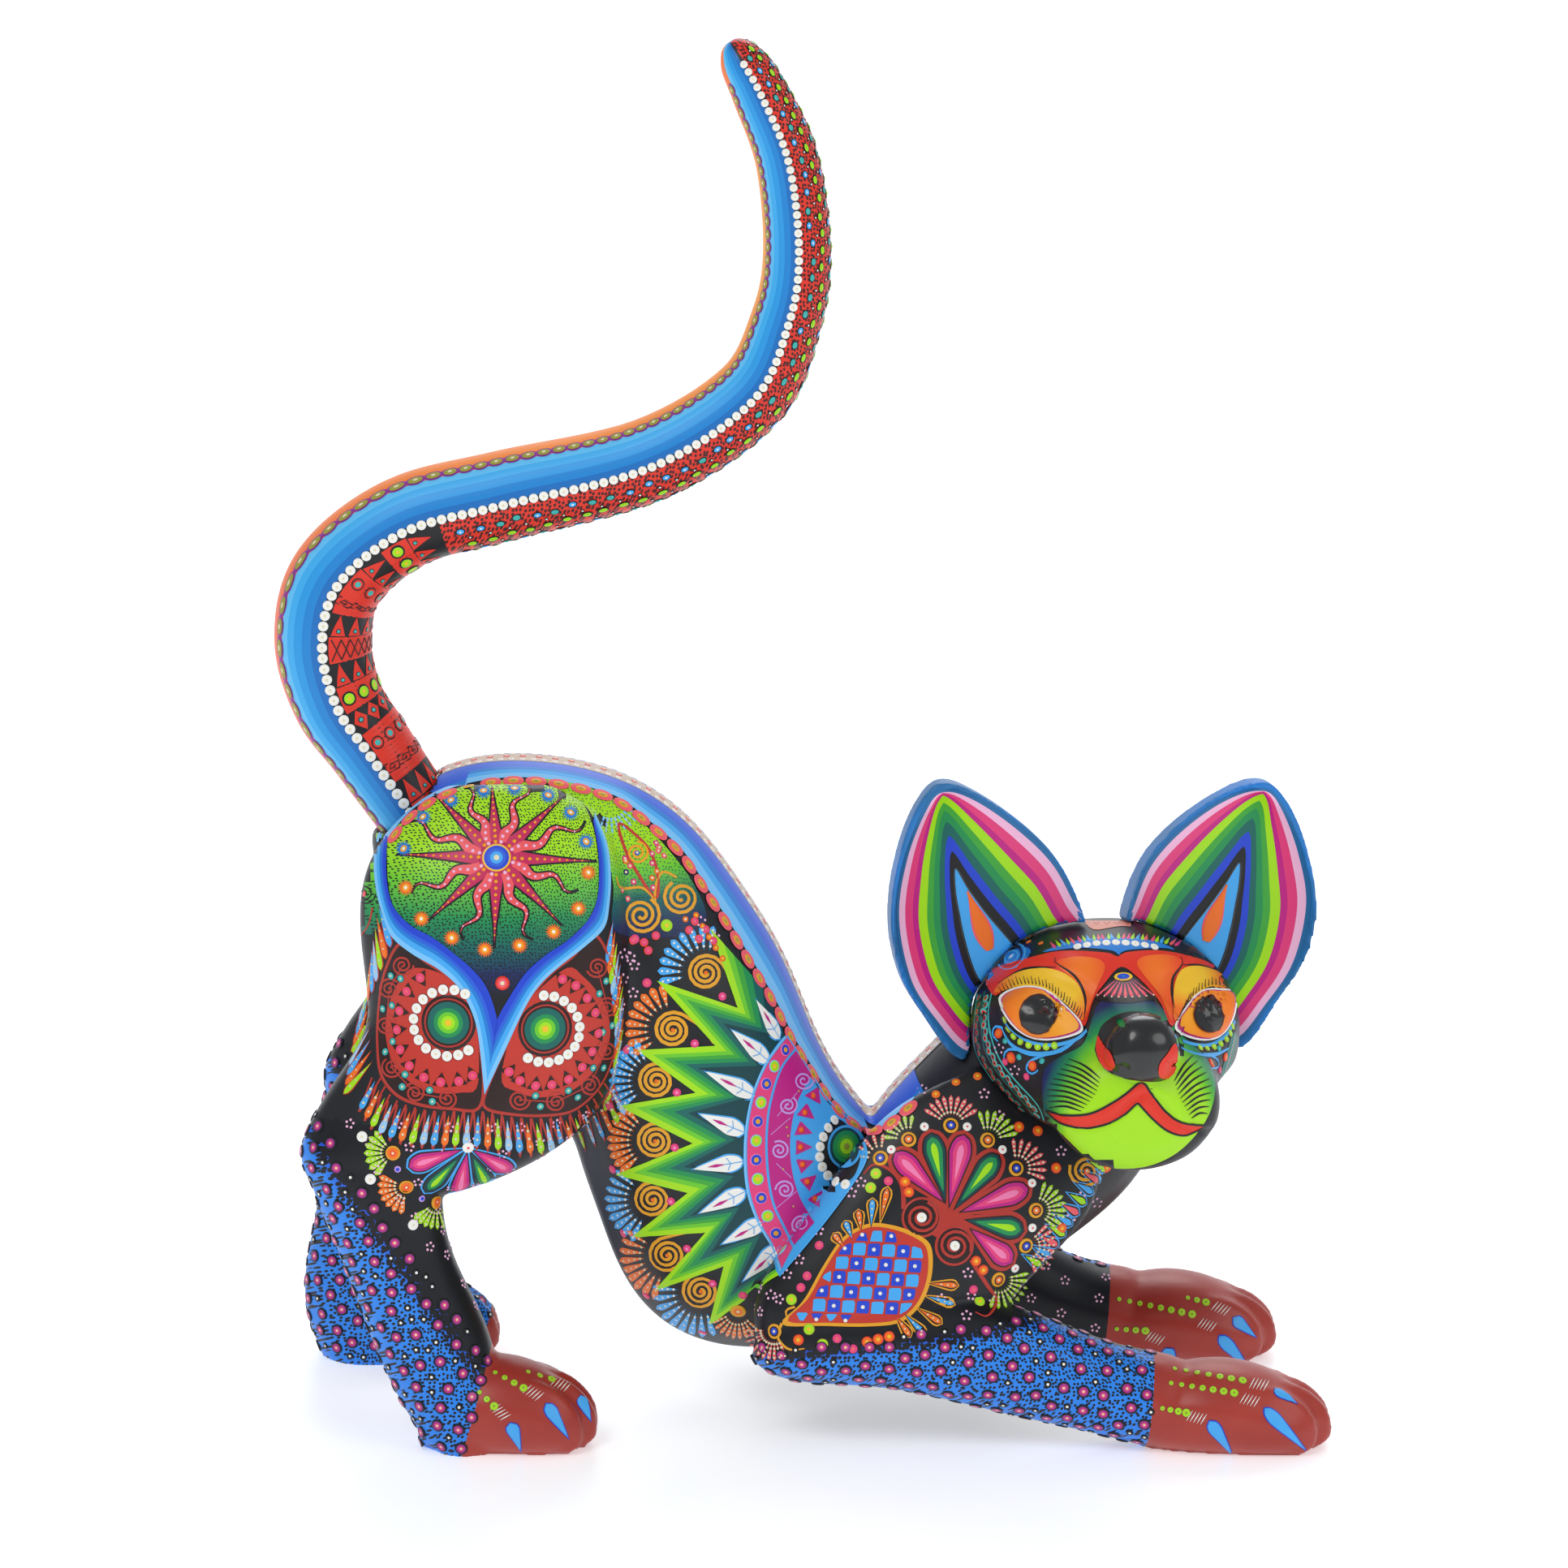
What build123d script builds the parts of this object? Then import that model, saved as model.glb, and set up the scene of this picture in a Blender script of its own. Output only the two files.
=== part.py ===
"""Carved cat figure in copal wood: torso, head, four legs, pull-off tail and ears, and the dowels that join them.

Millimetres. The cat stands along X and its chest points to +X, +Z is up, its right side is -Y, and its head
is turned to look out over its right side. The soles stand on Z = 0 and the origin is the middle of the
footprint's bounding box.
"""
import math
import os

from build123d import *

# ---- driving dimensions -------------------------------------------------------------------------------
STANCE = 44.0           # middle of each leg, out from the cat's centre plane
HIND_GLUE = 22.0        # flat glue faces of the hind legs, out from the centre plane
FORE_GLUE = 20.0        # flat glue faces of the forelegs
FAR_HIND_STEP = -33.0   # how far the left hind paw stands behind the right one
FAR_FORE_STEP = -8.0    # how far the left front paw lies behind the right one
FAR_SHOULDER_DROOP = 10.0  # the left shoulder sits lower, behind the turned neck
FAR_HIP_DROOP = 4.0        # and so does the left hip

HEAD_CENTRE = (94.0, -14.0, 118.0)
HEAD_YAW = 10.0         # turn of the face from straight sideways towards the chest
SEAT_GAP = 0.35         # clearance of the pull-off ears and tail from what they sit on
TAIL_SEAT_CLEARANCE = 0.9   # round the foot of the tail, in its recess in the rump

PEG_CLEARANCE = 0.06    # radial, peg in its socket
TAIL_PEG_RADIUS = 5.0
TAIL_PEG_LENGTH = 44.0  # half in the tail, half in the rump
EAR_PEG_RADIUS = 2.0
EAR_PEG_LENGTH = 24.0
NECK_DOWEL_RADIUS = 6.0
NECK_DOWEL_LENGTH = 44.0
LEG_DOWEL_RADIUS = 4.0
LEG_DOWEL_LENGTH = 32.0

PAW_TOES = 4


# ---- tools ----------------------------------------------------------------------------------------------
def oval(place, half_x, half_y):
    """Oval face on a plane, in four quarters that all start at the same corner, so lofts do not twist."""
    def point(turn):
        return place.from_local_coords((half_x * math.cos(turn), half_y * math.sin(turn), 0))

    def tangent(turn):
        return place.x_dir * (-half_x * math.sin(turn)) + place.y_dir * (half_y * math.cos(turn))

    quarters = []
    for i in range(4):
        turns = [math.pi / 2 * (i + step / 4) for step in range(5)]
        ends = (tangent(turns[0]), tangent(turns[-1]))
        quarters.append(Spline([point(turn) for turn in turns], tangents=ends))
    return Face(Wire(quarters))


def section(x, y, z, heading, across, side):
    """Oval at (x, y, z), facing along heading degrees in the XZ plane, with its half sizes."""
    turn = math.radians(heading)
    place = Plane((x, y, z), x_dir=(0, 1, 0), z_dir=(math.cos(turn), 0, math.sin(turn)))
    return oval(place, side, across)


def carved(stations):
    """A smooth solid through (x, y, z, heading, across, side) stations."""
    return loft([section(*station) for station in stations])


def ellipsoid(centre, half_sizes, tilt=(0, 0, 0)):
    ball = scale(Solid.make_sphere(1.0), by=half_sizes)
    return Location(centre, tilt) * ball


def rod(start, direction, radius, length):
    """A round rod from start along direction."""
    return Plane(start, z_dir=direction) * Solid.make_cylinder(radius, length)


def slab(side, glue):
    """All that lies further out than the glue face, on one side of the cat."""
    reach = 600.0
    return Location((0, side * (glue + reach / 2), reach / 2)) * Box(reach, reach, reach)


# ---- torso and neck -------------------------------------------------------------------------------------
# Each station runs from a point of the back to the point of the belly (or chest) across from it: x, z, x, z,
# and then the half width to the sides.
BARREL = [
    (-121, 173, -118, 151, 8),
    (-112, 184.5, -113, 131, 22),
    (-94, 194.5, -100, 115, 31),
    (-72, 196, -85, 104, 34),
    (-48, 190.5, -75, 97, 35.5),
    (-26, 175, -67, 89, 36.5),
    (-8, 150, -61, 77, 37.5),
    (5, 123.5, -55.5, 60, 38),
    (15, 102, -48, 40.5, 37.5),
    (24, 89.5, -34, 24.5, 36.5),
    (30, 80, -14, 18, 34),
    (34, 68, 8, 20, 27),
    (36, 57, 24, 31, 15),
]
NECK = [
    (14, 50, 29, 23, 16),
    (18, 66, 45, 20, 27),
    (24, 84, 60, 28, 31),
    (33, 97, 73, 41, 32),
    (45, 110, 86, 56, 31),
    (57, 121, 98, 72, 29),
    (68, 130, 106, 86, 25),
]


def between(stations, grow=0.0):
    """A smooth solid through stations that run from one edge of the outline to the other."""
    faces = []
    for top_x, top_z, bottom_x, bottom_z, side in stations:
        up_x, up_z = top_x - bottom_x, top_z - bottom_z
        heading = math.degrees(math.atan2(-up_x, up_z))
        middle = ((top_x + bottom_x) / 2, 0, (top_z + bottom_z) / 2)
        faces.append(section(*middle, heading, math.hypot(up_x, up_z) / 2 + grow, side + grow))
    return loft(faces)


def barrel():
    """Rump, back and belly: a thick tube that drops from the hips to the chest."""
    return between(BARREL)


def neck(grow=0.0):
    """Chest and neck: a thick slanting mass from between the elbows up into the head."""
    return between(NECK, grow)


# ---- legs -----------------------------------------------------------------------------------------------
def haunch(side):
    droop = 0 if side < 0 else FAR_HIP_DROOP
    return carved([
        (-80, side * 22, 193 - droop, -90, 13, 6),
        (-82, side * 25, 186 - droop, -90, 26, 12),
        (-84, side * 29, 172 - droop, -90, 35.5, 17),
        (-84, side * 33, 152, -90, 38.5, 19.5),
        (-83, side * 35, 130, -92, 37.5, 20),
        (-87, side * 37, 112, -103, 36.5, 19.5),
        (-102, side * 40, 96, -112, 31, 17.5),
        (-118, side * 42, 86, -118, 22, 15),
        (-129, side * 43, 82, -124, 13, 11),
        (-135, side * 43, 79, -128, 5, 5),
    ])


def shank_right():
    """From the hock, slanting forward down to the paw."""
    y = -STANCE
    return carved([
        (-121, y, 91, -100, 11, 9),
        (-118, y, 78, -90, 18.5, 13.5),
        (-114, y, 63, -78, 16, 13),
        (-107.5, y, 44, -72, 15.7, 13),
        (-101, y, 28, -66, 16, 13.5),
        (-96, y, 14, -66, 14, 14),
        (-93, y, 3, -75, 11, 13),
        (-92, y, -4, -80, 9, 12),
    ])


def shank_left():
    """From the hock, straight down to a heel that stands on the ground."""
    y = STANCE
    return carved([
        (-123, y, 92, -96, 12, 10),
        (-123.5, y, 78, -92, 17.5, 13.5),
        (-126.5, y, 60, -93, 15.5, 13),
        (-128.5, y, 40, -93, 15.5, 13),
        (-130, y, 22, -90, 17, 13.5),
        (-128, y, 9, -88, 17, 14),
        (-126, y, -4, -88, 15, 13.5),
    ])


def paw(x, y, length, height, width):
    """A paw with its heel at x: a low loaf with rounded toes that droop to the ground."""
    loaf = [
        (0.00, 0.30, 0.28, 0.50),
        (0.12, 0.42, 0.44, 0.80),
        (0.38, 0.46, 0.54, 0.98),
        (0.62, 0.40, 0.50, 1.00),
        (0.80, 0.30, 0.38, 0.92),
        (0.90, 0.22, 0.24, 0.70),
    ]
    body = carved([
        (x + f * length, y, z * height, -8, a * height, w * width)
        for f, z, a, w in loaf
    ])
    toe_half = width / PAW_TOES * 1.12
    for i in range(PAW_TOES):
        across = (i + 0.5) / PAW_TOES * 2 - 1
        reach = length * (0.98 - 0.16 * across * across)
        toe_y = y + across * (width - toe_half * 0.8)
        body += carved([
            (x + reach - 0.48 * length, toe_y, 0.52 * height, -20, 0.30 * height, toe_half * 0.8),
            (x + reach - 0.30 * length, toe_y, 0.47 * height, -24, 0.38 * height, toe_half),
            (x + reach - 0.14 * length, toe_y, 0.34 * height, -34, 0.34 * height, toe_half * 0.95),
            (x + reach - 0.04 * length, toe_y, 0.18 * height, -44, 0.22 * height, toe_half * 0.7),
            (x + reach, toe_y, 0.06 * height, -50, 0.10 * height, toe_half * 0.4),
        ])
    return body


def hind_leg(side):
    shank = shank_right() if side < 0 else shank_left()
    heel = -106.0 if side < 0 else -106.0 + FAR_HIND_STEP
    return haunch(side) + shank + paw(heel, side * STANCE, 51, 27, 16.5)


def foreleg(side):
    """Shoulder slab, upper arm down to the elbow, and the forearm lying forward to the paw."""
    step = 0 if side < 0 else FAR_FORE_STEP
    droop = 0 if side < 0 else FAR_SHOULDER_DROOP
    upper = carved([
        (-5, side * 43, 31, 40, 6, 6),
        (6, side * 43, 38, 42, 17, 12),
        (27, side * 41, 48 - droop * 0.2, 46, 28 - droop * 0.15, 14),
        (45, side * 36, 66 - droop * 0.55, 49, 32 - droop * 0.5, 13),
        (61, side * 30, 83 - droop, 50, 29 - droop * 0.6, 10),
        (73, side * 24, 96 - droop * 1.3, 50, 20 - droop * 0.6, 6),
    ])
    forearm = carved([
        (-8, side * 43, 32, -15, 6, 6),
        (2, side * STANCE, 33, -12, 12.5, 12),
        (30, side * 45, 33, -11, 15, 13),
        (60 + step / 3, side * 45, 27.5, -13, 15.7, 13),
        (82 + step / 2, side * STANCE, 20.5, -15, 14.2, 13),
        (98 + step, side * STANCE, 16, -12, 13.5, 13.5),
        (110 + step, side * STANCE, 13.5, -6, 13.7, 14.5),
        (120 + step, side * STANCE, 11, -6, 10, 11),
    ])
    return upper + forearm + paw(104 + step, side * STANCE, 53, 27, 17)


# ---- head, ears and tail --------------------------------------------------------------------------------
def head_place():
    return Location(HEAD_CENTRE, (0, 0, HEAD_YAW))


def head_loft(grow=0.0):
    """Skull running into the muzzle, in the head's own axes: the face looks along -Y."""
    profile = [
        (-34, 2, 9, 8),
        (-27, 2, 26, 21),
        (-12, 1, 37, 29),
        (3, 0, 39.5, 31.5),
        (14, 0, 37, 30),
        (24, -3, 31.5, 26.5),
        (33, -9, 26, 21.5),
        (42, -12.5, 24.5, 18.8),
        (49, -13.5, 20, 15.5),
        (53, -13.5, 11, 9),
    ]
    return loft([
        oval(Plane((0, -t, u), x_dir=(1, 0, 0), z_dir=(0, -1, 0)), w + grow, h + grow)
        for t, u, w, h in profile
    ])


def head_blank():
    bridge = loft([
        oval(Plane((0, -t, u), x_dir=(1, 0, 0), z_dir=(0, -1, 0)), w, h)
        for t, u, w, h in [(12, 15, 14, 12), (30, 9, 13.5, 11), (44, 4.5, 12, 9.5), (51, 3, 7, 6)]
    ])
    blank = head_loft() + bridge
    blank += ellipsoid((0, -49.5, 6), (10.8, 7.5, 9.4))
    for cheek in (-1, 1):
        blank += ellipsoid((cheek * 22.5, -19, 7.5), (12.5, 9.5, 8.5), (0, -cheek * 20, 0))
    return blank


def ear_blank(side):
    """Leaf-shaped cup of the ear on one side, in the head's own axes."""
    outline = [
        (4, 24), (7.5, 38), (13.5, 50), (25, 61), (38, 69.5), (47.5, 72), (53.5, 66.5),
        (60, 52), (63.3, 35), (60, 16), (51.5, 2), (41, -9),
    ]
    closing = [(30, -4), (16, 6)]
    leaf = make_face(Spline([(side * s, u) for s, u in outline + closing], periodic=True))
    back, front = 16.0, -2.0
    frame = Plane((0, back, 0), x_dir=(1, 0, 0), z_dir=(0, -1, 0))
    plate = extrude(frame * leaf, back - front)
    bowl = ellipsoid((side * 33, -3, 30), (35, 18, 53))
    dish = ellipsoid((side * 35, -6, 29), (29, 15, 46))
    root = ellipsoid((side * 22, 13.5, 27), (10, 5, 10))
    return (plate & bowl) - dish + root


def ear_pull(side):
    """Direction in which an ear pulls off, in the head's own axes."""
    return Vector(side * 0.64, 0, 0.77).normalized()


def ear_peg(side, clearance=0.0):
    middle = Vector(side * 22.5, 12.4, 27)
    start = middle - ear_pull(side) * (EAR_PEG_LENGTH / 2)
    return rod(start, ear_pull(side), EAR_PEG_RADIUS + clearance, EAR_PEG_LENGTH)


TAIL_PATH = [
    (-104, 173.3, 11.6), (-111, 183.7, 11.9), (-121.6, 199.5, 12.6), (-130.6, 213.4, 13.4),
    (-134.6, 231.7, 14.2), (-129.5, 250.2, 14.0), (-110, 265.8, 13.5), (-81.8, 273.5, 13.2),
    (-39.1, 284.2, 12.2), (-9.9, 302.9, 11.3), (0.5, 324.4, 10.3), (3.7, 344.2, 9.8),
    (0.9, 370.6, 9.1), (-7, 390.1, 8.0), (-12.0, 399.0, 6.8), (-15.0, 404.0, 4.6),
]
TAIL_STATIONS = 26
TAIL_PULL = Vector(TAIL_PATH[1][0] - TAIL_PATH[0][0], 0, TAIL_PATH[1][1] - TAIL_PATH[0][1]).normalized()


def tail_blank():
    """The S of the tail: round sections evenly spaced along a smooth path."""
    spine = Spline([(x, 0, z) for x, z, radius in TAIL_PATH])
    lengths = [0.0]
    for (x0, z0, _), (x1, z1, _) in zip(TAIL_PATH, TAIL_PATH[1:]):
        lengths.append(lengths[-1] + math.hypot(x1 - x0, z1 - z0))
    faces = []
    tip_x, tip_z, tip_radius = TAIL_PATH[-2]
    for i in range(TAIL_STATIONS + 1):
        f = i / TAIL_STATIONS
        place, along = spine @ f, spine % f
        k = next(j for j in range(1, len(lengths)) if f * lengths[-1] <= lengths[j] + 1e-6)
        part = (f * lengths[-1] - lengths[k - 1]) / (lengths[k] - lengths[k - 1])
        radius = TAIL_PATH[k - 1][2] * (1 - part) + TAIL_PATH[k][2] * part
        plane = Plane(place, x_dir=(0, 1, 0), z_dir=along)
        faces.append(oval(plane, radius, radius))
    return loft(faces) + ellipsoid((tip_x, 0, tip_z), (tip_radius,) * 3)


def tail_seat():
    """Room that the tail takes in the rump, with its clearance."""
    x, z, radius = TAIL_PATH[0]
    base = Vector(x, 0, z) - TAIL_PULL * SEAT_GAP
    return rod(base, TAIL_PULL, radius + TAIL_SEAT_CLEARANCE, 60)


def tail_peg(clearance=0.0):
    x, z, radius = TAIL_PATH[0]
    start = Vector(x, 0, z) - TAIL_PULL * (TAIL_PEG_LENGTH / 2)
    return rod(start, TAIL_PULL, TAIL_PEG_RADIUS + clearance, TAIL_PEG_LENGTH)


# ---- assembly -------------------------------------------------------------------------------------------
def leg_dowel(x, side, glue, z):
    start = Vector(x, side * (glue - LEG_DOWEL_LENGTH / 2), z)
    return rod(start, (0, side, 0), LEG_DOWEL_RADIUS, LEG_DOWEL_LENGTH)


def build():
    above_ground = Location((0, 0, 300)) * Box(900, 900, 600)
    place = head_place()
    parts = {}

    sides = {"right": -1, "left": 1}
    for name, side in sides.items():
        parts[f"hind_leg_{name}"] = hind_leg(side) & slab(side, HIND_GLUE) & above_ground
        parts[f"foreleg_{name}"] = foreleg(side) & slab(side, FORE_GLUE) & above_ground
        parts[f"hip_dowel_{name}"] = leg_dowel(-80, side, HIND_GLUE, 150)
        parts[f"shoulder_dowel_{name}"] = leg_dowel(45, side, FORE_GLUE, 66)
        parts[f"ear_peg_{name}"] = place * ear_peg(side)
        ear = place * (ear_blank(side) - head_loft(SEAT_GAP) - ear_peg(side))
        parts[f"ear_{name}"] = ear - neck(SEAT_GAP)

    torso = barrel() + neck()
    head = place * head_blank()
    neck_start = Vector(86, 0, 108)
    neck_line = Vector(math.cos(math.radians(50)), 0, math.sin(math.radians(50)))
    neck_dowel = rod(neck_start - neck_line * (NECK_DOWEL_LENGTH * 0.6), neck_line,
                     NECK_DOWEL_RADIUS, NECK_DOWEL_LENGTH)
    head = head - torso - neck_dowel
    for side in sides.values():
        head = head - place * ear_peg(side, PEG_CLEARANCE)
    parts["neck_dowel"] = neck_dowel
    parts["tail"] = tail_blank() - tail_peg()
    parts["tail_peg"] = tail_peg()

    for name in sides:
        torso = torso - parts[f"hind_leg_{name}"] - parts[f"foreleg_{name}"] - parts[f"hip_dowel_{name}"]
        torso = torso - parts[f"shoulder_dowel_{name}"]
        head = head - parts[f"foreleg_{name}"]
        for limb, dowel in (("hind_leg", "hip_dowel"), ("foreleg", "shoulder_dowel")):
            parts[f"{limb}_{name}"] = parts[f"{limb}_{name}"] - parts[f"{dowel}_{name}"]
        parts[f"hind_leg_{name}"] = parts[f"hind_leg_{name}"] - tail_seat()
    parts["torso"] = torso - neck_dowel - tail_seat() - tail_peg(PEG_CLEARANCE)
    parts["head"] = head
    return parts


def main():
    parts = build()
    box = Compound(children=[Compound(part.solids()) for part in parts.values()]).bounding_box()
    shift = Vector(-(box.min.X + box.max.X) / 2, -(box.min.Y + box.max.Y) / 2, -box.min.Z)
    os.makedirs("parts", exist_ok=True)
    for name, part in parts.items():
        moved = Compound([Pos(shift) * solid for solid in part.solids()])
        export_step(moved, f"parts/{name}.step")
    print("shift of the origin", tuple(shift), "size", tuple(box.size))
    print("tail pull", tuple(TAIL_PULL))
    for side in (-1, 1):
        pull = Location((0, 0, 0), (0, 0, HEAD_YAW)) * Location(ear_pull(side))
        print("ear pull", side, tuple(pull.position))


if __name__ == "__main__":
    main()
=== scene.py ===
"""Looks of the carved and painted cat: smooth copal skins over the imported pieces, and the paint on them.

Lengths in the paint functions are millimetres. at() takes the carver's datum, which the CAD uses too: X runs
from rump to paws, Y to the cat's left and Z up from the ground.
"""
import math
import random

import bmesh
import bpy
from mathutils import Euler, Matrix, Vector
from mathutils.bvhtree import BVHTree
from mathutils.geometry import delaunay_2d_cdt


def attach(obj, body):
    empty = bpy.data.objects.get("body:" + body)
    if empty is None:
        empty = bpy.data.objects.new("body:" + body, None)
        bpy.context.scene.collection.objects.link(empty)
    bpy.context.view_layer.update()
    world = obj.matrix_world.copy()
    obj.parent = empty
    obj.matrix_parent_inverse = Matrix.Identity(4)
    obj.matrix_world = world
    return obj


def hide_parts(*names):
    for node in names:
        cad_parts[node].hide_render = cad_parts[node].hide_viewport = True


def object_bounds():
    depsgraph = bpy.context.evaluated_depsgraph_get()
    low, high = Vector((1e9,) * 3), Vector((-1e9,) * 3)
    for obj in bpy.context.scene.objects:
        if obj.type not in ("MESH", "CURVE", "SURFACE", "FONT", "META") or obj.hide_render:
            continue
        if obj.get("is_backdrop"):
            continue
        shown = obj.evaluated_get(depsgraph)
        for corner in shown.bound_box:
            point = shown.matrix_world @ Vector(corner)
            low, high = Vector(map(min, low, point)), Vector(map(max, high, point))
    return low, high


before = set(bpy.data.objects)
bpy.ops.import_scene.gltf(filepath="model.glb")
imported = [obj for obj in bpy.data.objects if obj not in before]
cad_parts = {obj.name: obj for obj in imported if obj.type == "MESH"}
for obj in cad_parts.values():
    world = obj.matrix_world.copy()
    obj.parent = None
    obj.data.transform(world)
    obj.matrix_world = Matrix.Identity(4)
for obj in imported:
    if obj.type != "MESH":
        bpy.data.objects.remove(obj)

CAD_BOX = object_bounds()
MM = 0.001
DATUM = Vector((-4.559, 4.669, 0.0))

HEAD_CENTRE = Vector((94.0, -14.0, 118.0))
HEAD_YAW = math.radians(10)
HIND_GLUE = 22.0
FORE_GLUE = 20.0
CARVING = "carving"


def at(x, y, z):
    """A point given in the carver's millimetres, in the row's metres."""
    return (Vector((x, y, z)) + DATUM) * MM


def head_at(x, y, z):
    """A point given in the head's own millimetres: the face looks along -Y."""
    turned = Matrix.Rotation(HEAD_YAW, 3, "Z") @ Vector((x, y, z))
    return (turned + HEAD_CENTRE + DATUM) * MM


# ---- colours --------------------------------------------------------------------------------------------
PALETTE = {
    "black": "15161A",
    "charcoal": "232428",
    "white": "F4F3EC",
    "cream": "E9DDB8",
    "beige": "C9B3A0",
    "red": "E3321F",
    "brick": "A3342A",
    "brick_light": "AE3D31",
    "maroon": "4A1717",
    "rust": "B5342A",
    "coral": "F2606B",
    "pink": "F783B4",
    "pale_pink": "F8BEE0",
    "hot_pink": "E8407F",
    "magenta": "C41E86",
    "purple": "8E2C96",
    "lilac": "C9A2EC",
    "orange": "F5741D",
    "amber": "F9A41C",
    "yellow": "F5C32A",
    "lime": "A6E413",
    "green": "3FA83A",
    "leaf": "1E9250",
    "teal": "11665E",
    "deep_teal": "0B4249",
    "turquoise": "3FB5B0",
    "sky": "45ABF2",
    "blue": "1F7FD6",
    "royal": "1F45CF",
    "navy": "17255C",
    "olive": "9E9B3C",
    "gloss_black": "0B0B0C",
    "scarlet": "EE4A22",
    "tangerine": "F98A1B",
    "gold": "E8A324",
    "light_sky": "7CC6FA",
    "pale_blue": "9CCBF2",
    "mid_green": "6CCB2B",
    "brown": "2B1413",
    "pale_lime": "D6EE7A",
    "mid_blue": "2B62DA",
    "ear_blue": "2A6FA6",
    "plum": "A02A86",
    "deep_navy": "080B14",
    "salmon": "E08A74",
    "leg_blue": "2585EC",
    "pink_core": "E34B7C",
    "rust_red": "C6382B",
    "crimson": "C4265A",
    "coral_ray": "F0595F",
    "sky_1": "62C1F4",
    "sky_2": "3FAEEE",
    "sky_3": "2A9BE2",
    "sky_4": "1F86D2",
    "sky_5": "1B70BE",
    "wood_light": "D9BC8C",
    "wood_dark": "B58F5C",
}


def linear(code):
    """sRGB hex to a linear RGBA colour."""
    values = [int(code[i:i + 2], 16) / 255 for i in (0, 2, 4)]
    return tuple(v / 12.92 if v <= 0.04045 else ((v + 0.055) / 1.055) ** 2.4 for v in values) + (1.0,)


def shader(name, roughness=0.42, coat=0.12):
    """A new acrylic paint: its node tree and its Principled shader."""
    paint = bpy.data.materials.new(name)
    paint.use_nodes = True
    body = paint.node_tree.nodes["Principled BSDF"]
    body.inputs["Roughness"].default_value = roughness
    body.inputs["Coat Weight"].default_value = coat
    body.inputs["Coat Roughness"].default_value = 0.3
    body.inputs["Specular IOR Level"].default_value = 0.32
    return paint, paint.node_tree, body


def flat_paint(colour):
    """Plain acrylic of one palette colour."""
    paint = bpy.data.materials.get("paint_" + colour)
    if paint is None:
        paint, tree, body = shader("paint_" + colour)
        body.inputs["Base Color"].default_value = linear(PALETTE[colour])
        if colour == "gloss_black":
            body.inputs["Roughness"].default_value = 0.12
            body.inputs["Coat Weight"].default_value = 0.8
        paint.diffuse_color = linear(PALETTE[colour])
    return paint


def link(tree, source, target):
    tree.links.new(source, target)


def along_axis(tree, origin, axis, length):
    """A node socket that goes from 0 at origin to 1 at length metres along axis."""
    place = tree.nodes.new("ShaderNodeTexCoord")
    away = tree.nodes.new("ShaderNodeVectorMath")
    away.operation = "SUBTRACT"
    away.inputs[1].default_value = origin
    link(tree, place.outputs["Object"], away.inputs[0])
    dot = tree.nodes.new("ShaderNodeVectorMath")
    dot.operation = "DOT_PRODUCT"
    dot.inputs[1].default_value = Vector(axis).normalized() / length
    link(tree, away.outputs["Vector"], dot.inputs[0])
    return dot.outputs["Value"]


def ramp(tree, factor, stops):
    """Colour ramp through (position, palette colour) stops."""
    node = tree.nodes.new("ShaderNodeValToRGB")
    elements = node.color_ramp.elements
    elements[0].position, elements[0].color = stops[0][0], linear(PALETTE[stops[0][1]])
    elements[1].position, elements[1].color = stops[-1][0], linear(PALETTE[stops[-1][1]])
    for position, colour in stops[1:-1]:
        elements.new(position).color = linear(PALETTE[colour])
    link(tree, factor, node.inputs["Fac"])
    return node.outputs["Color"]


def brushed(tree, body, strength=0.12, scale=260.0):
    """Faint unevenness of hand-laid paint over sanded wood."""
    noise = tree.nodes.new("ShaderNodeTexNoise")
    noise.inputs["Scale"].default_value = scale
    noise.inputs["Detail"].default_value = 3.0
    place = tree.nodes.new("ShaderNodeTexCoord")
    link(tree, place.outputs["Object"], noise.inputs["Vector"])
    bump = tree.nodes.new("ShaderNodeBump")
    bump.inputs["Strength"].default_value = strength
    bump.inputs["Distance"].default_value = 0.0004
    link(tree, noise.outputs["Fac"], bump.inputs["Height"])
    link(tree, bump.outputs["Normal"], body.inputs["Normal"])


def graded_paint(name, stops, origin, axis, length, stipple=None):
    """Paint that shades along an axis; stipple is (colour, size in metres, least, most) of brushed dots."""
    paint, tree, body = shader(name)
    factor = along_axis(tree, origin, axis, length)
    colour = ramp(tree, factor, stops)
    if stipple:
        dot_colour, size, least, most = stipple
        cells = side_dots(tree, size, 0.6)
        limit = tree.nodes.new("ShaderNodeMapRange")
        limit.inputs["To Min"].default_value = least
        limit.inputs["To Max"].default_value = most
        link(tree, factor, limit.inputs["Value"])
        inside = tree.nodes.new("ShaderNodeMath")
        inside.operation = "LESS_THAN"
        link(tree, cells.outputs["Distance"], inside.inputs[0])
        link(tree, limit.outputs["Result"], inside.inputs[1])
        mix = tree.nodes.new("ShaderNodeMix")
        mix.data_type = "RGBA"
        mix.inputs[7].default_value = linear(PALETTE[dot_colour])
        link(tree, inside.outputs["Value"], mix.inputs[0])
        link(tree, colour, mix.inputs[6])
        colour = mix.outputs[2]
    link(tree, colour, body.inputs["Base Color"])
    brushed(tree, body)
    return paint


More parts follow.
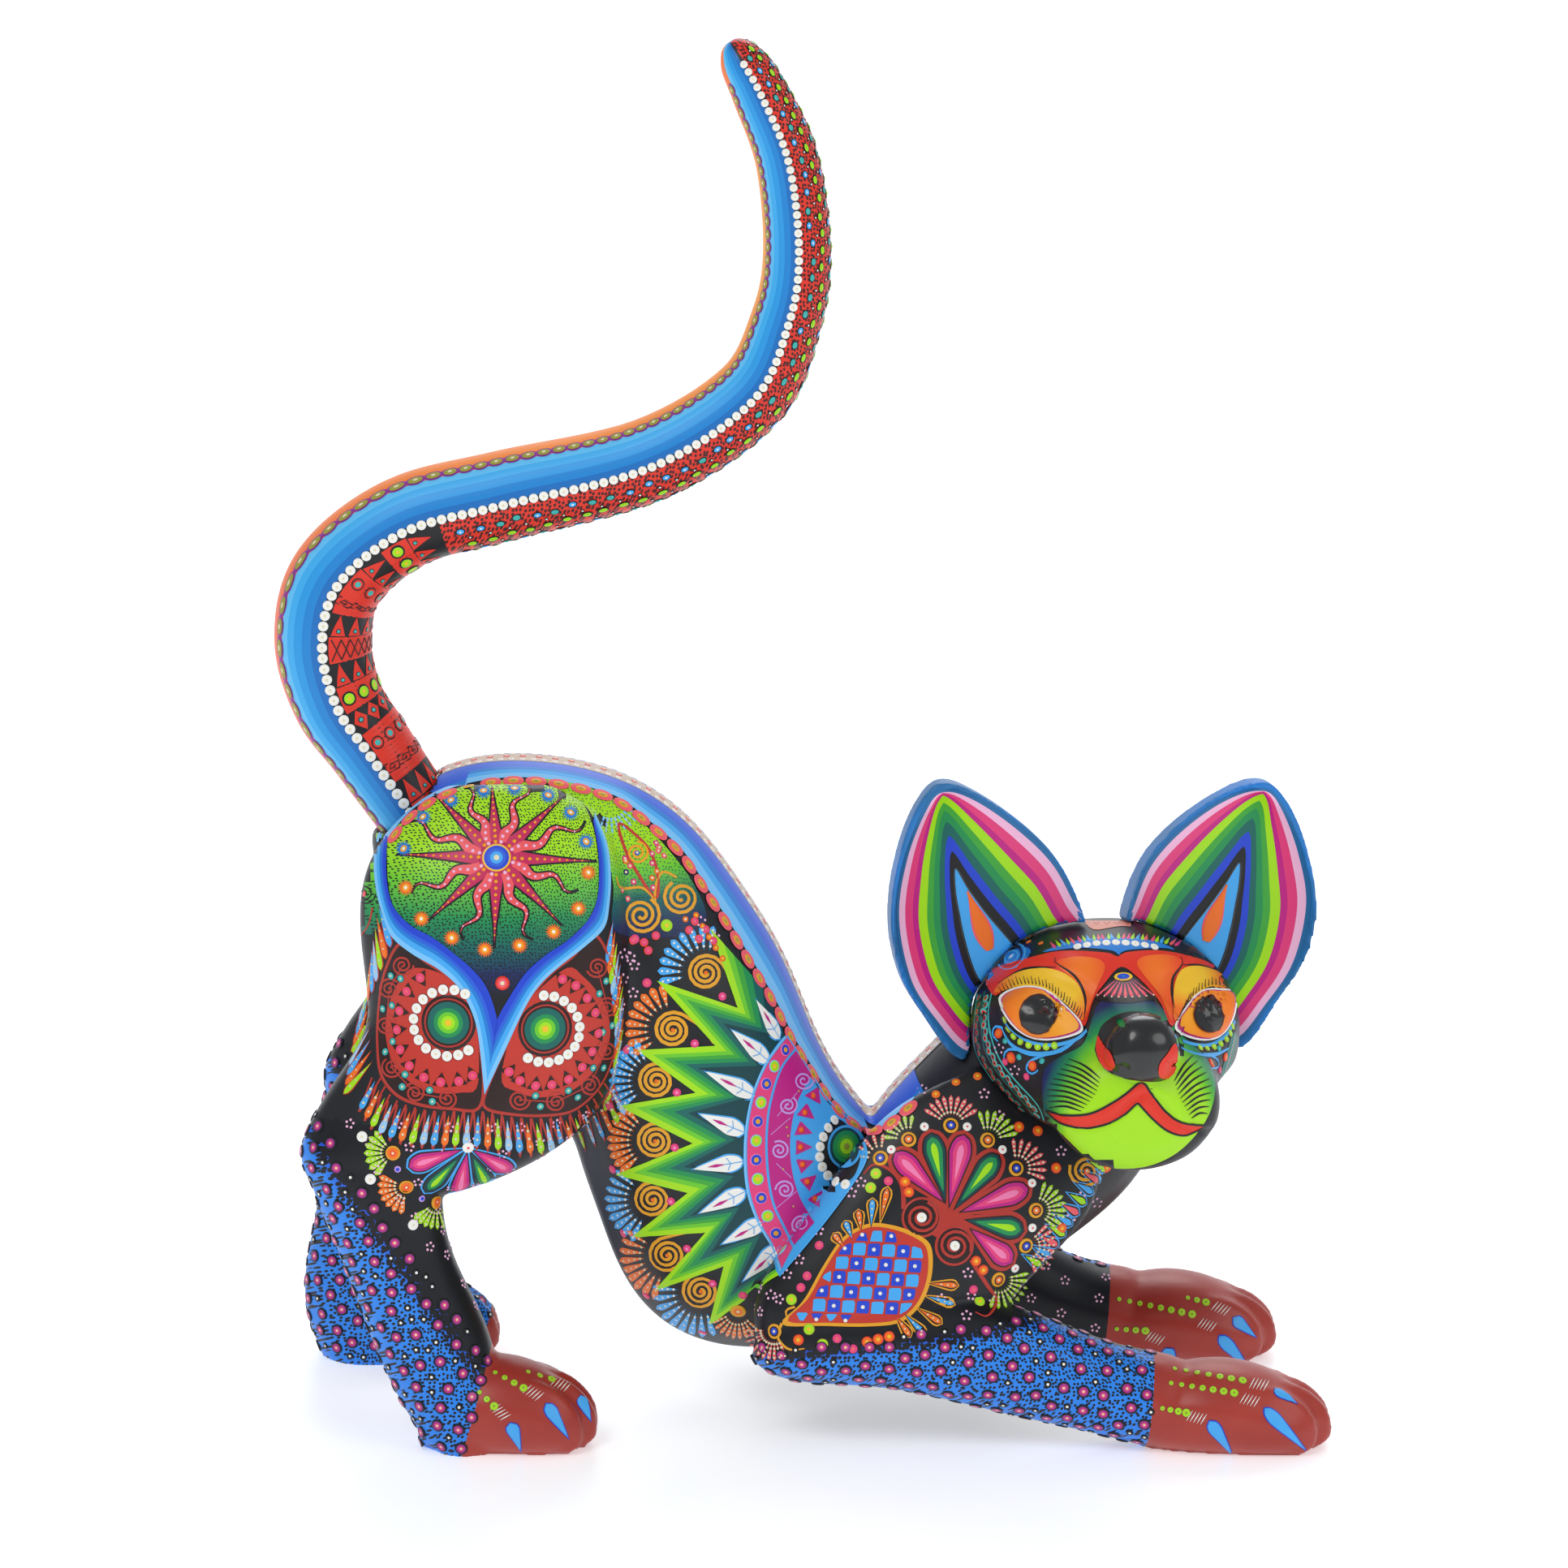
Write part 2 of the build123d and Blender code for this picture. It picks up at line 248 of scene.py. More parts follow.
def side_dots(tree, size, randomness):
    """Distance to the nearest of a field of dots laid over the sides, as the brush dabs them."""
    place = tree.nodes.new("ShaderNodeTexCoord")
    joined = tree.nodes.new("ShaderNodeCombineXYZ")
    for axis, weights in (("X", (1.0, 0.7, 0.0)), ("Y", (0.0, 0.45, 1.0))):
        along = tree.nodes.new("ShaderNodeVectorMath")
        along.operation = "DOT_PRODUCT"
        along.inputs[1].default_value = weights
        link(tree, place.outputs["Object"], along.inputs[0])
        link(tree, along.outputs["Value"], joined.inputs[axis])
    cells = tree.nodes.new("ShaderNodeTexVoronoi")
    cells.voronoi_dimensions = "2D"
    cells.inputs["Scale"].default_value = 1.0 / size
    cells.inputs["Randomness"].default_value = randomness
    link(tree, joined.outputs[0], cells.inputs["Vector"])
    return cells


def ground_paint(name, colour, mottle, roughness=0.42):
    """Even ground coat with a faint drift of tone."""
    paint, tree, body = shader(name, roughness)
    noise = tree.nodes.new("ShaderNodeTexNoise")
    noise.inputs["Scale"].default_value = 45.0
    place = tree.nodes.new("ShaderNodeTexCoord")
    link(tree, place.outputs["Object"], noise.inputs["Vector"])
    link(tree, ramp(tree, noise.outputs["Fac"], [(0.35, colour), (0.75, mottle)]),
         body.inputs["Base Color"])
    brushed(tree, body)
    return paint


def bare_wood():
    """Pale copal with fine straight grain, for the pegs."""
    paint, tree, body = shader("bare_copal", 0.6, 0.0)
    wave = tree.nodes.new("ShaderNodeTexWave")
    wave.inputs["Scale"].default_value = 260.0
    wave.inputs["Distortion"].default_value = 3.0
    place = tree.nodes.new("ShaderNodeTexCoord")
    link(tree, place.outputs["Object"], wave.inputs["Vector"])
    link(tree, ramp(tree, wave.outputs["Fac"], [(0.1, "wood_light"), (0.9, "wood_dark")]),
         body.inputs["Base Color"])
    brushed(tree, body, 0.3, 500.0)
    return paint


# ---- wood skins -----------------------------------------------------------------------------------------
def mesh_object(name, mesh):
    obj = bpy.data.objects.new(name, mesh)
    bpy.context.scene.collection.objects.link(obj)
    return obj


def blank(nodes, name):
    """A new object with copies of the named CAD pieces, their split edges welded."""
    bm = bmesh.new()
    for node in nodes:
        bm.from_mesh(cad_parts[node].data)
    bmesh.ops.remove_doubles(bm, verts=bm.verts, dist=1e-6)
    mesh = bpy.data.meshes.new(name)
    bm.to_mesh(mesh)
    bm.free()
    return mesh_object(name, mesh)


def apply(obj):
    """Bakes an object's modifiers into its mesh."""
    graph = bpy.context.evaluated_depsgraph_get()
    mesh = bpy.data.meshes.new_from_object(obj.evaluated_get(graph))
    obj.modifiers.clear()
    obj.data = mesh
    return obj


def skin(obj, voxel, rounds, factor=0.5):
    """Turns a blank into one even closed skin and sands it."""
    remesh = obj.modifiers.new("remesh", "REMESH")
    remesh.mode = "VOXEL"
    remesh.voxel_size = voxel * MM
    if rounds:
        sand = obj.modifiers.new("sand", "SMOOTH")
        sand.iterations = rounds
        sand.factor = factor
    apply(obj)
    for polygon in obj.data.polygons:
        polygon.use_smooth = True
    return obj


def swell(obj, amount):
    """Moves each point of a mesh out along its normal, in millimetres."""
    moved = [v.co + v.normal * amount * MM for v in obj.data.vertices]
    for vertex, place in zip(obj.data.vertices, moved):
        vertex.co = place
    obj.data.update()
    return obj


def cut(obj, cutter, operation):
    """Boolean of two closed meshes, applied."""
    step = obj.modifiers.new("cut", "BOOLEAN")
    step.operation = operation
    step.solver = "MANIFOLD"
    step.object = cutter
    return apply(obj)


def duplicate(obj, name):
    return mesh_object(name, obj.data.copy())


def block(low, high):
    """A closed block between two corners, in metres, as a cutting tool."""
    bm = bmesh.new()
    bmesh.ops.create_cube(bm, size=1.0)
    size, middle = Vector(high) - Vector(low), (Vector(high) + Vector(low)) / 2
    for v in bm.verts:
        v.co = Vector([v.co[i] * size[i] + middle[i] for i in range(3)])
    mesh = bpy.data.meshes.new("block")
    bm.to_mesh(mesh)
    bm.free()
    return mesh_object("block", mesh)


def discard(obj):
    bpy.data.objects.remove(obj)


def sharpen(obj, degrees=50):
    """Marks the edges that really are sharp, so that the rest shades smoothly."""
    bm = bmesh.new()
    bm.from_mesh(obj.data)
    limit = math.radians(degrees)
    for edge in bm.edges:
        edge.smooth = not (edge.is_manifold and edge.calc_face_angle(0) > limit)
    for face in bm.faces:
        face.smooth = True
    bm.to_mesh(obj.data)
    bm.free()


def tree_of(obj):
    return BVHTree.FromObject(obj, bpy.context.evaluated_depsgraph_get())


LEGS = {
    "hind_leg_right": (-1, HIND_GLUE),
    "hind_leg_left": (1, HIND_GLUE),
    "foreleg_right": (-1, FORE_GLUE),
    "foreleg_left": (1, FORE_GLUE),
}


def carve_body():
    """The joined, sanded skin of torso and legs, and its pieces cut apart again at the glue faces."""
    whole = skin(blank(["torso"] + list(LEGS), "whole"), 1.15, 9)
    level_soles(whole)
    fill_neck(whole)
    pieces = {"torso": duplicate(whole, "torso_skin")}
    for leg, (side, glue) in LEGS.items():
        region = swell(skin(blank([leg], "region"), 2.5, 0), 2.6)
        reach = [at(-400, side * glue, -50), at(400, side * 400, 600)]
        low = [min(a, b) for a, b in zip(*reach)]
        high = [max(a, b) for a, b in zip(*reach)]
        outside = block(low, high)
        cut(region, outside, "INTERSECT")
        pieces[leg] = cut(duplicate(whole, leg + "_skin"), region, "INTERSECT")
        cut(pieces["torso"], region, "DIFFERENCE")
        discard(region)
        discard(outside)
    for node, piece in pieces.items():
        sharpen(piece)
        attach(piece, CARVING)
        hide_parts(node)
    return whole, pieces


def fill_neck(obj):
    """Rounds the front of the neck out under the chin."""
    run, out = Vector((-0.549, 0, -0.836)), Vector((0.836, 0, -0.549))
    for vertex in obj.data.vertices:
        away = vertex.co / MM - DATUM - Vector((96.6, 0, 80.0))
        along, across = away.dot(run) / 46, away.dot(out) / 25
        if abs(along) < 1 and across > -1:
            vertex.co = vertex.co + out * (6.6 * (1 - along * along) ** 2 * min(1.0, 1 + across)) * MM
    obj.data.update()


def level_soles(obj):
    """Sanding lifts the rims of the soles; this sets everything at the bottom flat on the ground."""
    for vertex in obj.data.vertices:
        if vertex.co.z < 0.7 * MM:
            vertex.co.z = 0.0
    obj.data.update()


# ---- paint ----------------------------------------------------------------------------------------------
class Paint:
    """Everything painted on one stretch of wood. Points are in metres; sizes and heights in millimetres."""

    def __init__(self, name, body, tree, longest=1.7):
        self.name, self.body, self.tree, self.longest = name, body, tree, longest
        self.points, self.faces, self.colours = [], [], []

    def lay(self, point, height):
        """The wood's nearest point to a given one, lifted by height."""
        place, normal, index, distance = self.tree.find_nearest(point)
        return place + normal * height * MM

    def spot(self, start, along):
        """Where a line from start first meets the wood, unless it only grazes it."""
        along = along.normalized()
        place, normal, index, distance = self.tree.ray_cast(start, along)
        return None if place is None or abs(normal.dot(along)) < 0.1 else place

    def add(self, points, faces, colour):
        start = len(self.points)
        self.points += points
        self.faces += [tuple(start + i for i in face) for face in faces]
        self.colours += [colour] * len(faces)

    def dot(self, centre, radius, colour, height=0.35):
        self.bead(centre, [(radius, colour)], height)

    def bead(self, centre, rings, height=0.35):
        """A dome of paint in concentric rings; rings are (radius, colour) from the widest in."""
        widest = rings[0][0]
        sides = 8 if widest < 0.6 else 10 if widest < 1.1 else 14 if widest < 2.5 else 26
        place, normal, index, distance = self.tree.find_nearest(centre)
        across = normal.orthogonal().normalized()
        up = normal.cross(across)
        rise = min(0.12, 0.16 * widest)
        edges = [(widest, None), (widest * 0.97, rings[0][1])]
        for (radius, colour), after in zip(rings, rings[1:] + [(0.0, None)]):
            if radius == widest and radius > 1.2:
                edges.append((max(0.82 * radius, after[0] + 0.04), colour))
            if after[0] > 0:
                edges.append((after[0], colour))
        points = []
        for k, (radius, colour) in enumerate(edges):
            share = radius / widest
            lift = height - rise * (1 - math.sqrt(max(0.0, 1 - share * share))) if k else -0.06
            for i in range(sides):
                turn = 2 * math.pi * i / sides
                spot = place + (across * math.cos(turn) + up * math.sin(turn)) * radius * MM
                points.append(self.lay(spot, lift) if radius > 1.7 else spot + normal * lift * MM)
        points.append(place + normal * height * MM)
        for k in range(len(edges) - 1):
            colour = edges[k + 1][1]
            faces = [(k * sides + i, k * sides + (i + 1) % sides, (k + 1) * sides + (i + 1) % sides,
                      (k + 1) * sides + i)
                     for i in range(sides)]
            self.colours += [colour] * sides
            self.faces += [tuple(len(self.points) + i for i in face) for face in faces]
        last = len(edges) - 1
        top = [(last * sides + i, last * sides + (i + 1) % sides, (last + 1) * sides) for i in range(sides)]
        self.add(points, top, rings[-1][1])

    def stroke(self, points, widths, colour, height=0.2, across=2):
        """A brush stroke along points; widths is one number, or one for each point."""
        if isinstance(widths, (int, float)):
            widths = [widths] * len(points)
        laid = []
        for i, point in enumerate(points):
            before, after = points[max(i - 1, 0)], points[min(i + 1, len(points) - 1)]
            place, normal, index, distance = self.tree.find_nearest(point)
            side = normal.cross(after - before)
            side = side.normalized() if side.length > 1e-9 else normal.orthogonal().normalized()
            for k in range(across + 1):
                f = 2 * k / across - 1
                edge = place + side * (f * widths[i] / 2 * MM)
                if widths[i] > 2.5:
                    laid.append(self.lay(edge, height - 0.1 * f * f))
                else:
                    laid.append(edge + normal * ((height - 0.12 * f * f) * MM))
        faces = []
        row = across + 1
        for i in range(len(points) - 1):
            for k in range(across):
                faces.append((i * row + k, i * row + k + 1, (i + 1) * row + k + 1, (i + 1) * row + k))
        self.add(laid, faces, colour)

    def field(self, outline, place, colour, height=0.1, spacing=2.0):
        """Fills a flat outline, a list of (u, v), laid on the wood by place(u, v)."""
        outline = even(outline + outline[:1], spacing * 0.75)[:-1]
        us, vs = [p[0] for p in outline], [p[1] for p in outline]
        corners = [Vector(p) for p in outline]
        edges = [(i, (i + 1) % len(corners)) for i in range(len(corners))]
        u = min(us) + spacing / 2
        while u < max(us):
            v = min(vs) + spacing / 2
            while v < max(vs):
                if inside((u, v), outline, spacing * 0.45):
                    corners.append(Vector((u, v)))
                v += spacing
            u += spacing
        verts, found, faces = delaunay_2d_cdt(corners, edges, [], 1, 1e-5)[:3]
        self.cover([place(p.x, p.y) for p in verts], faces, colour, height)

    def band(self, first, second, place, colour, height=0.1, rows=1):
        """Fills between two lines of the same number of (u, v) points."""
        spots = []
        for (a, b), (c, d) in zip(first, second):
            for k in range(rows + 1):
                f = k / rows
                spots.append(place(a + (c - a) * f, b + (d - b) * f))
        row = rows + 1
        faces = [(i * row + k, i * row + k + 1, (i + 1) * row + k + 1, (i + 1) * row + k)
                 for i in range(len(first) - 1) for k in range(rows)]
        self.cover(spots, faces, colour, height)

    def cover(self, spots, faces, colour, height):
        """Lays a net of points on the wood, split finely enough to follow it; misses are left out."""
        longest = self.longest
        bm = bmesh.new()
        verts = [None if spot is None else bm.verts.new(spot) for spot in spots]
        for face in faces:
            corners = [verts[i] for i in face]
            if None not in corners and len(set(corners)) > 2 and \
                    max((a.co - b.co).length for a, b in zip(corners, corners[1:])) < 12 * MM:
                try:
                    bm.faces.new(corners)
                except ValueError:
                    continue
        for turn in range(3):
            long = [edge for edge in bm.edges if edge.calc_length() > longest * MM]
            if not long:
                break
            bmesh.ops.subdivide_edges(bm, edges=long, cuts=1, use_grid_fill=True)
            bmesh.ops.triangulate(bm, faces=[f for f in bm.faces if len(f.verts) > 4])
            for vert in bm.verts:
                vert.co = self.tree.find_nearest(vert.co)[0]
        bm.verts.index_update()
        used = [vert for vert in bm.verts if vert.link_faces]
        order = {vert.index: k for k, vert in enumerate(used)}
        laid = [self.lay(vert.co, height) for vert in used]
        self.add(laid, [tuple(order[vert.index] for vert in face.verts) for face in bm.faces], colour)
        bm.free()

    def dry(self):
        """Makes the painted mesh, turned outwards, one material for each colour."""
        mesh = bpy.data.meshes.new(self.name)
        for point in self.points:
            point.z = max(point.z, 0.0)
        mesh.from_pydata(self.points, [], self.faces)
        names = []
        for colour in self.colours:
            if colour not in names:
                names.append(colour)
        for colour in names:
            mesh.materials.append(bpy.data.materials.get(colour) or flat_paint(colour))
        slots = {colour: i for i, colour in enumerate(names)}
        mesh.polygons.foreach_set("material_index", [slots[c] for c in self.colours])
        mesh.update()
        flips = []
        for polygon in mesh.polygons:
            normal = self.tree.find_nearest(polygon.center)[1]
            if normal.dot(polygon.normal) < 0:
                flips.append(polygon.index)
        bm = bmesh.new()
        bm.from_mesh(mesh)
        bm.faces.ensure_lookup_table()
        bmesh.ops.reverse_faces(bm, faces=[bm.faces[i] for i in flips])
        for face in bm.faces:
            face.smooth = True
        bm.to_mesh(mesh)
        bm.free()
        obj = mesh_object(self.name, mesh)
        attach(obj, self.body)
        return obj


def inside(point, outline, margin=0.0):
    """True where a point lies inside an outline, at least margin from its edge."""
    u, v = point
    odd = False
    for (a, b), (c, d) in zip(outline, outline[1:] + outline[:1]):
        if (b > v) != (d > v) and u < (c - a) * (v - b) / (d - b) + a:
            odd = not odd
        span = (c - a) ** 2 + (d - b) ** 2
        f = max(0.0, min(1.0, ((u - a) * (c - a) + (v - b) * (d - b)) / span)) if span else 0.0
        if margin and math.hypot(a + (c - a) * f - u, b + (d - b) * f - v) < margin:
            return False
    return odd


# ---- flat shapes ----------------------------------------------------------------------------------------
def smooth_line(points, steps=6, closed=False):
    """Catmull-Rom curve through (u, v) points."""
    count = len(points)
    found = []
    for i in range(count if closed else count - 1):
        if closed:
            p = [points[(i + k) % count] for k in (-1, 0, 1, 2)]
        else:
            p = [points[min(max(i + k, 0), count - 1)] for k in (-1, 0, 1, 2)]
        for step in range(steps):
            t = step / steps
            found.append(tuple(
                0.5 * (2 * p[1][k] + (p[2][k] - p[0][k]) * t
                       + (2 * p[0][k] - 5 * p[1][k] + 4 * p[2][k] - p[3][k]) * t * t
                       + (3 * p[1][k] - p[0][k] - 3 * p[2][k] + p[3][k]) * t ** 3)
                for k in range(len(p[1]))))
    if not closed:
        found.append(tuple(points[-1]))
    return found


def even(points, spacing):
    """Points every spacing along a line of (u, v) points, ends kept."""
    lengths = [0.0]
    for a, b in zip(points, points[1:]):
        lengths.append(lengths[-1] + math.dist(a, b))
    count = max(1, round(lengths[-1] / spacing))
    found, k = [], 0
    for i in range(count + 1):
        goal = lengths[-1] * i / count
        while k < len(points) - 2 and lengths[k + 1] < goal:
            k += 1
        span = lengths[k + 1] - lengths[k]
        f = (goal - lengths[k]) / span if span else 0.0
        found.append(tuple(a + (b - a) * f for a, b in zip(points[k], points[k + 1])))
    return found


def polar(u, v, radius, degrees):
    turn = math.radians(degrees)
    return u + radius * math.cos(turn), v + radius * math.sin(turn)


# ---- studio ---------------------------------------------------------------------------------------------
def area_light(name, place, size, power, target):
    data = bpy.data.lights.new(name, "AREA")
    data.shape = "DISK"
    data.size = size
    data.energy = power
    lamp = bpy.data.objects.new(name, data)
    bpy.context.scene.collection.objects.link(lamp)
    lamp.location = place
    lamp.rotation_euler = (Vector(target) - Vector(place)).to_track_quat("-Z", "Y").to_euler()
    return lamp


def studio():
    """White cyclorama, soft light from above and both sides, and the camera."""
    scene = bpy.context.scene
    scene.view_settings.view_transform = "Standard"
    world = bpy.data.worlds.new("studio")
    scene.world = world
    world.use_nodes = True
    backdrop = world.node_tree.nodes["Background"]
    backdrop.inputs["Color"].default_value = (0.93, 0.96, 1.0, 1.0)
    backdrop.inputs["Strength"].default_value = 0.5
    target = at(0, 0, 150)
    area_light("key", (-0.9, -1.5, 1.9), 1.1, 15.0, target)
    area_light("fill", (1.6, -1.3, 1.2), 1.2, 8.0, target)
    area_light("back", (0.2, 1.4, 1.7), 1.2, 10.0, target)

    bm = bmesh.new()
    profile = [(-3.0, 0.0), (1.6, 0.0)]
    profile += [(1.6 + 0.8 * math.sin(t), 0.8 - 0.8 * math.cos(t)) for t in
                [math.pi / 2 * i / 12 for i in range(1, 13)]]
    profile += [(2.4, 3.5)]
    rows = [[bm.verts.new((x, y, z)) for x in (-4.0, 4.0)] for y, z in profile]
    for a, b in zip(rows, rows[1:]):
        bm.faces.new((a[0], a[1], b[1], b[0]))
    mesh = bpy.data.meshes.new("floor")
    bm.to_mesh(mesh)
    bm.free()
    for polygon in mesh.polygons:
        polygon.use_smooth = True
    floor = mesh_object("floor", mesh)
    finish, tree, body = shader("floor_white", 0.35, 0.0)
    body.inputs["Base Color"].default_value = (0.9, 0.91, 0.92, 1.0)
    body.inputs["Emission Color"].default_value = (0.97, 0.98, 1.0, 1.0)
    body.inputs["Emission Strength"].default_value = 0.42
    mesh.materials.append(finish)
    floor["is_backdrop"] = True

    lens = bpy.data.cameras.new("camera")
    lens.sensor_width = 36.0
    lens.lens = 36.0 * 1.7 / 0.46
    camera = bpy.data.objects.new("camera", lens)
    scene.collection.objects.link(camera)
    aim = at(0, 0, 188)
    tilt = math.radians(12)
    camera.location = aim + Vector((0, -math.cos(tilt), math.sin(tilt))) * 1.7
    camera.rotation_euler = (aim - camera.location).to_track_quat("-Z", "Y").to_euler()
    scene.camera = camera

# ---- tail -----------------------------------------------------------------------------------------------
TAIL_PATH = [
    (-104, 173.3, 11.6), (-111, 183.7, 11.9), (-121.6, 199.5, 12.6), (-130.6, 213.4, 13.4),
    (-134.6, 231.7, 14.2), (-129.5, 250.2, 14.0), (-110, 265.8, 13.5), (-81.8, 273.5, 13.2),
    (-39.1, 284.2, 12.2), (-9.9, 302.9, 11.3), (0.5, 324.4, 10.3), (3.7, 344.2, 9.8),
    (0.9, 370.6, 9.1), (-7, 390.1, 8.0), (-12.0, 399.0, 6.6), (-14.6, 403.4, 4.0), (-15.4, 404.7, 1.6),
]
# Stripes round the tail, from the angle where each starts: 0 faces out to the cat's right, 90 to the inside
# of the lower bend.
TAIL_STRIPES = [
    (-128, "tail_orange"), (-52, "sky_1"), (-42, "sky_2"), (-32, "sky_3"), (-21, "sky_4"), (-10, "sky_5"),
    (0, "black"), (8, "tail_red"), (172, "black"), (180, "sky_5"), (190, "sky_4"), (201, "sky_3"),
    (212, "sky_2"), (222, "sky_1"), (232, None),
]
BAND_START = 122.0      # where the banded lower part of the inner stripe gives way to red, in mm along


class Tail:
    """The tail's smooth path: point(s, angle, lift) is a place on it, s millimetres from its foot."""

    def __init__(self):
        self.line = even(smooth_line(TAIL_PATH, 8), 1.25)
        self.lengths = [0.0]
        for a, b in zip(self.line, self.line[1:]):
            self.lengths.append(self.lengths[-1] + math.hypot(b[0] - a[0], b[1] - a[1]))
        self.length = self.lengths[-1]

    def ring(self, i, angle, lift=0.0):
        x, z, radius = self.line[i]
        a, b = self.line[max(i - 1, 0)], self.line[min(i + 1, len(self.line) - 1)]
        run = Vector((b[0] - a[0], 0, b[1] - a[1])).normalized()
        turn = math.radians(angle)
        out = Vector((run.z, 0, -run.x)) * math.sin(turn) + Vector((0, -math.cos(turn), 0))
        return at(x, 0, z) + out * (radius + lift) * MM

    def point(self, s, angle, lift=0.0):
        s = min(max(s, 0.0), self.length - 0.01)
        i = next(k for k in range(1, len(self.lengths)) if self.lengths[k] >= s)
        f = (s - self.lengths[i - 1]) / (self.lengths[i] - self.lengths[i - 1])
        return self.ring(i - 1, angle, lift).lerp(self.ring(i, angle, lift), f)


def carve_tail(tail):
    """The tail's skin, with its painted stripes as zones."""
    graded_paint("tail_orange", [(0.0, "coral"), (0.35, "orange"), (0.8, "amber"), (1.0, "orange")],
                 at(0, 0, 190), (0, 0, 1), 0.2)
    graded_paint("tail_red", [(0.0, "red"), (1.0, "red")], at(0, 0, 190), (0, 0, 1), 0.2,
                 ("maroon", 0.00125, 0.36, 0.36))
    angles, zones = [], []
    for (start, zone), (stop, after) in zip(TAIL_STRIPES, TAIL_STRIPES[1:]):
        count = max(1, round((stop - start) / 9))
        angles += [start + (stop - start) * k / count for k in range(count)]
        zones += [zone] * count
    names = sorted(set(zones))
    mesh = bpy.data.meshes.new("tail_skin")
    rows, columns = len(tail.line), len(angles)
    points = [tail.ring(i, angle) for i in range(rows) for angle in angles]
    faces, materials = [], []
    for i in range(rows - 1):
        for k in range(columns):
            j = (k + 1) % columns
            faces.append((i * columns + k, i * columns + j, (i + 1) * columns + j, (i + 1) * columns + k))
            low = zones[k] == "tail_red" and tail.lengths[i] < BAND_START
            materials.append("black" if low else zones[k])
    faces.append(tuple(range(columns)))
    faces.append(tuple((rows - 1) * columns + k for k in reversed(range(columns))))
    materials += ["black", "sky_4"]
    mesh.from_pydata(points, [], faces)
    for name in names:
        mesh.materials.append(bpy.data.materials.get(name) or flat_paint(name))
    for polygon, material in zip(mesh.polygons, materials):
        polygon.material_index = names.index(material)
        polygon.use_smooth = len(polygon.vertices) == 4
    bm = bmesh.new()
    bm.from_mesh(mesh)
    bmesh.ops.recalc_face_normals(bm, faces=bm.faces)
    bm.to_mesh(mesh)
    bm.free()
    obj = mesh_object("tail_skin", mesh)
    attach(obj, "tail_body")
    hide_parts("tail")
    return obj


def paint_tail(tail, obj):
    """Pearl rows, orange-edge ovals, the banded foot and the beads of the red stripe."""
    paint = Paint("tail_paint", "tail_body", tree_of(obj))
    end = tail.length - 6
    for angle, oval in ((3.5, -57), (176.5, -123)):
        s = 3.0
        while s < end:
            size = 1.62 - 0.5 * s / end
            paint.bead(tail.point(s, angle), [(size, "white"), (size * 0.3, "cream")], 0.45)
            s += 3.45 - 1.0 * s / end
        s = 4.0
        while s < end - 4:
            oval_bead(paint, tail, s, oval, 2.0 - 0.6 * s / end,
                      [("purple", 1.0), ("olive", 0.72), ("cream", 0.24)])
            s += 5.3 - 1.6 * s / end
    paint_tail_bands(paint, tail)
    chance = random.Random(7)
    s = BAND_START + 6
    while s < end:
        reach = 1 - 0.35 * s / end
        for angle, pattern in ((26, "blue"), (48, "lime"), (70, "blue"), (90, "lime"), (110, "blue"),
                               (132, "lime"), (154, "blue")):
            place = s + (2.6 if pattern == "lime" else 0.0) + chance.uniform(-0.5, 0.5)
            size = (1.55 if pattern == "lime" else 1.35) * reach
            core = "lime" if pattern == "lime" else chance.choice(("sky", "turquoise"))
            oval_bead(paint, tail, place, angle + chance.uniform(-3, 3), size,
                      [("black", 1.0), (core, 0.72), ("white" if core == "sky" else core, 0.25)], 1.35)
            oval_bead(paint, tail, place + 2.7 * reach, angle + 11, 0.75 * reach,
                      [("black", 1.0), ("white", 0.5)], 1.0)
        s += 6.6 * reach
    return paint.dry()


def oval_bead(paint, tail, s, angle, size, rings, stretch=1.5):
    """Nested ovals that lie along the tail."""
    for i, (colour, share) in enumerate(rings):
        half = size * share
        line = [tail.point(s + half * stretch * f, angle) for f in (-1, -0.8, -0.4, 0, 0.4, 0.8, 1)]
        widths = [2 * half * w for w in (0.06, 0.6, 0.92, 1, 0.92, 0.6, 0.06)]
        paint.stroke(line, widths, colour, 0.22 + 0.14 * i)


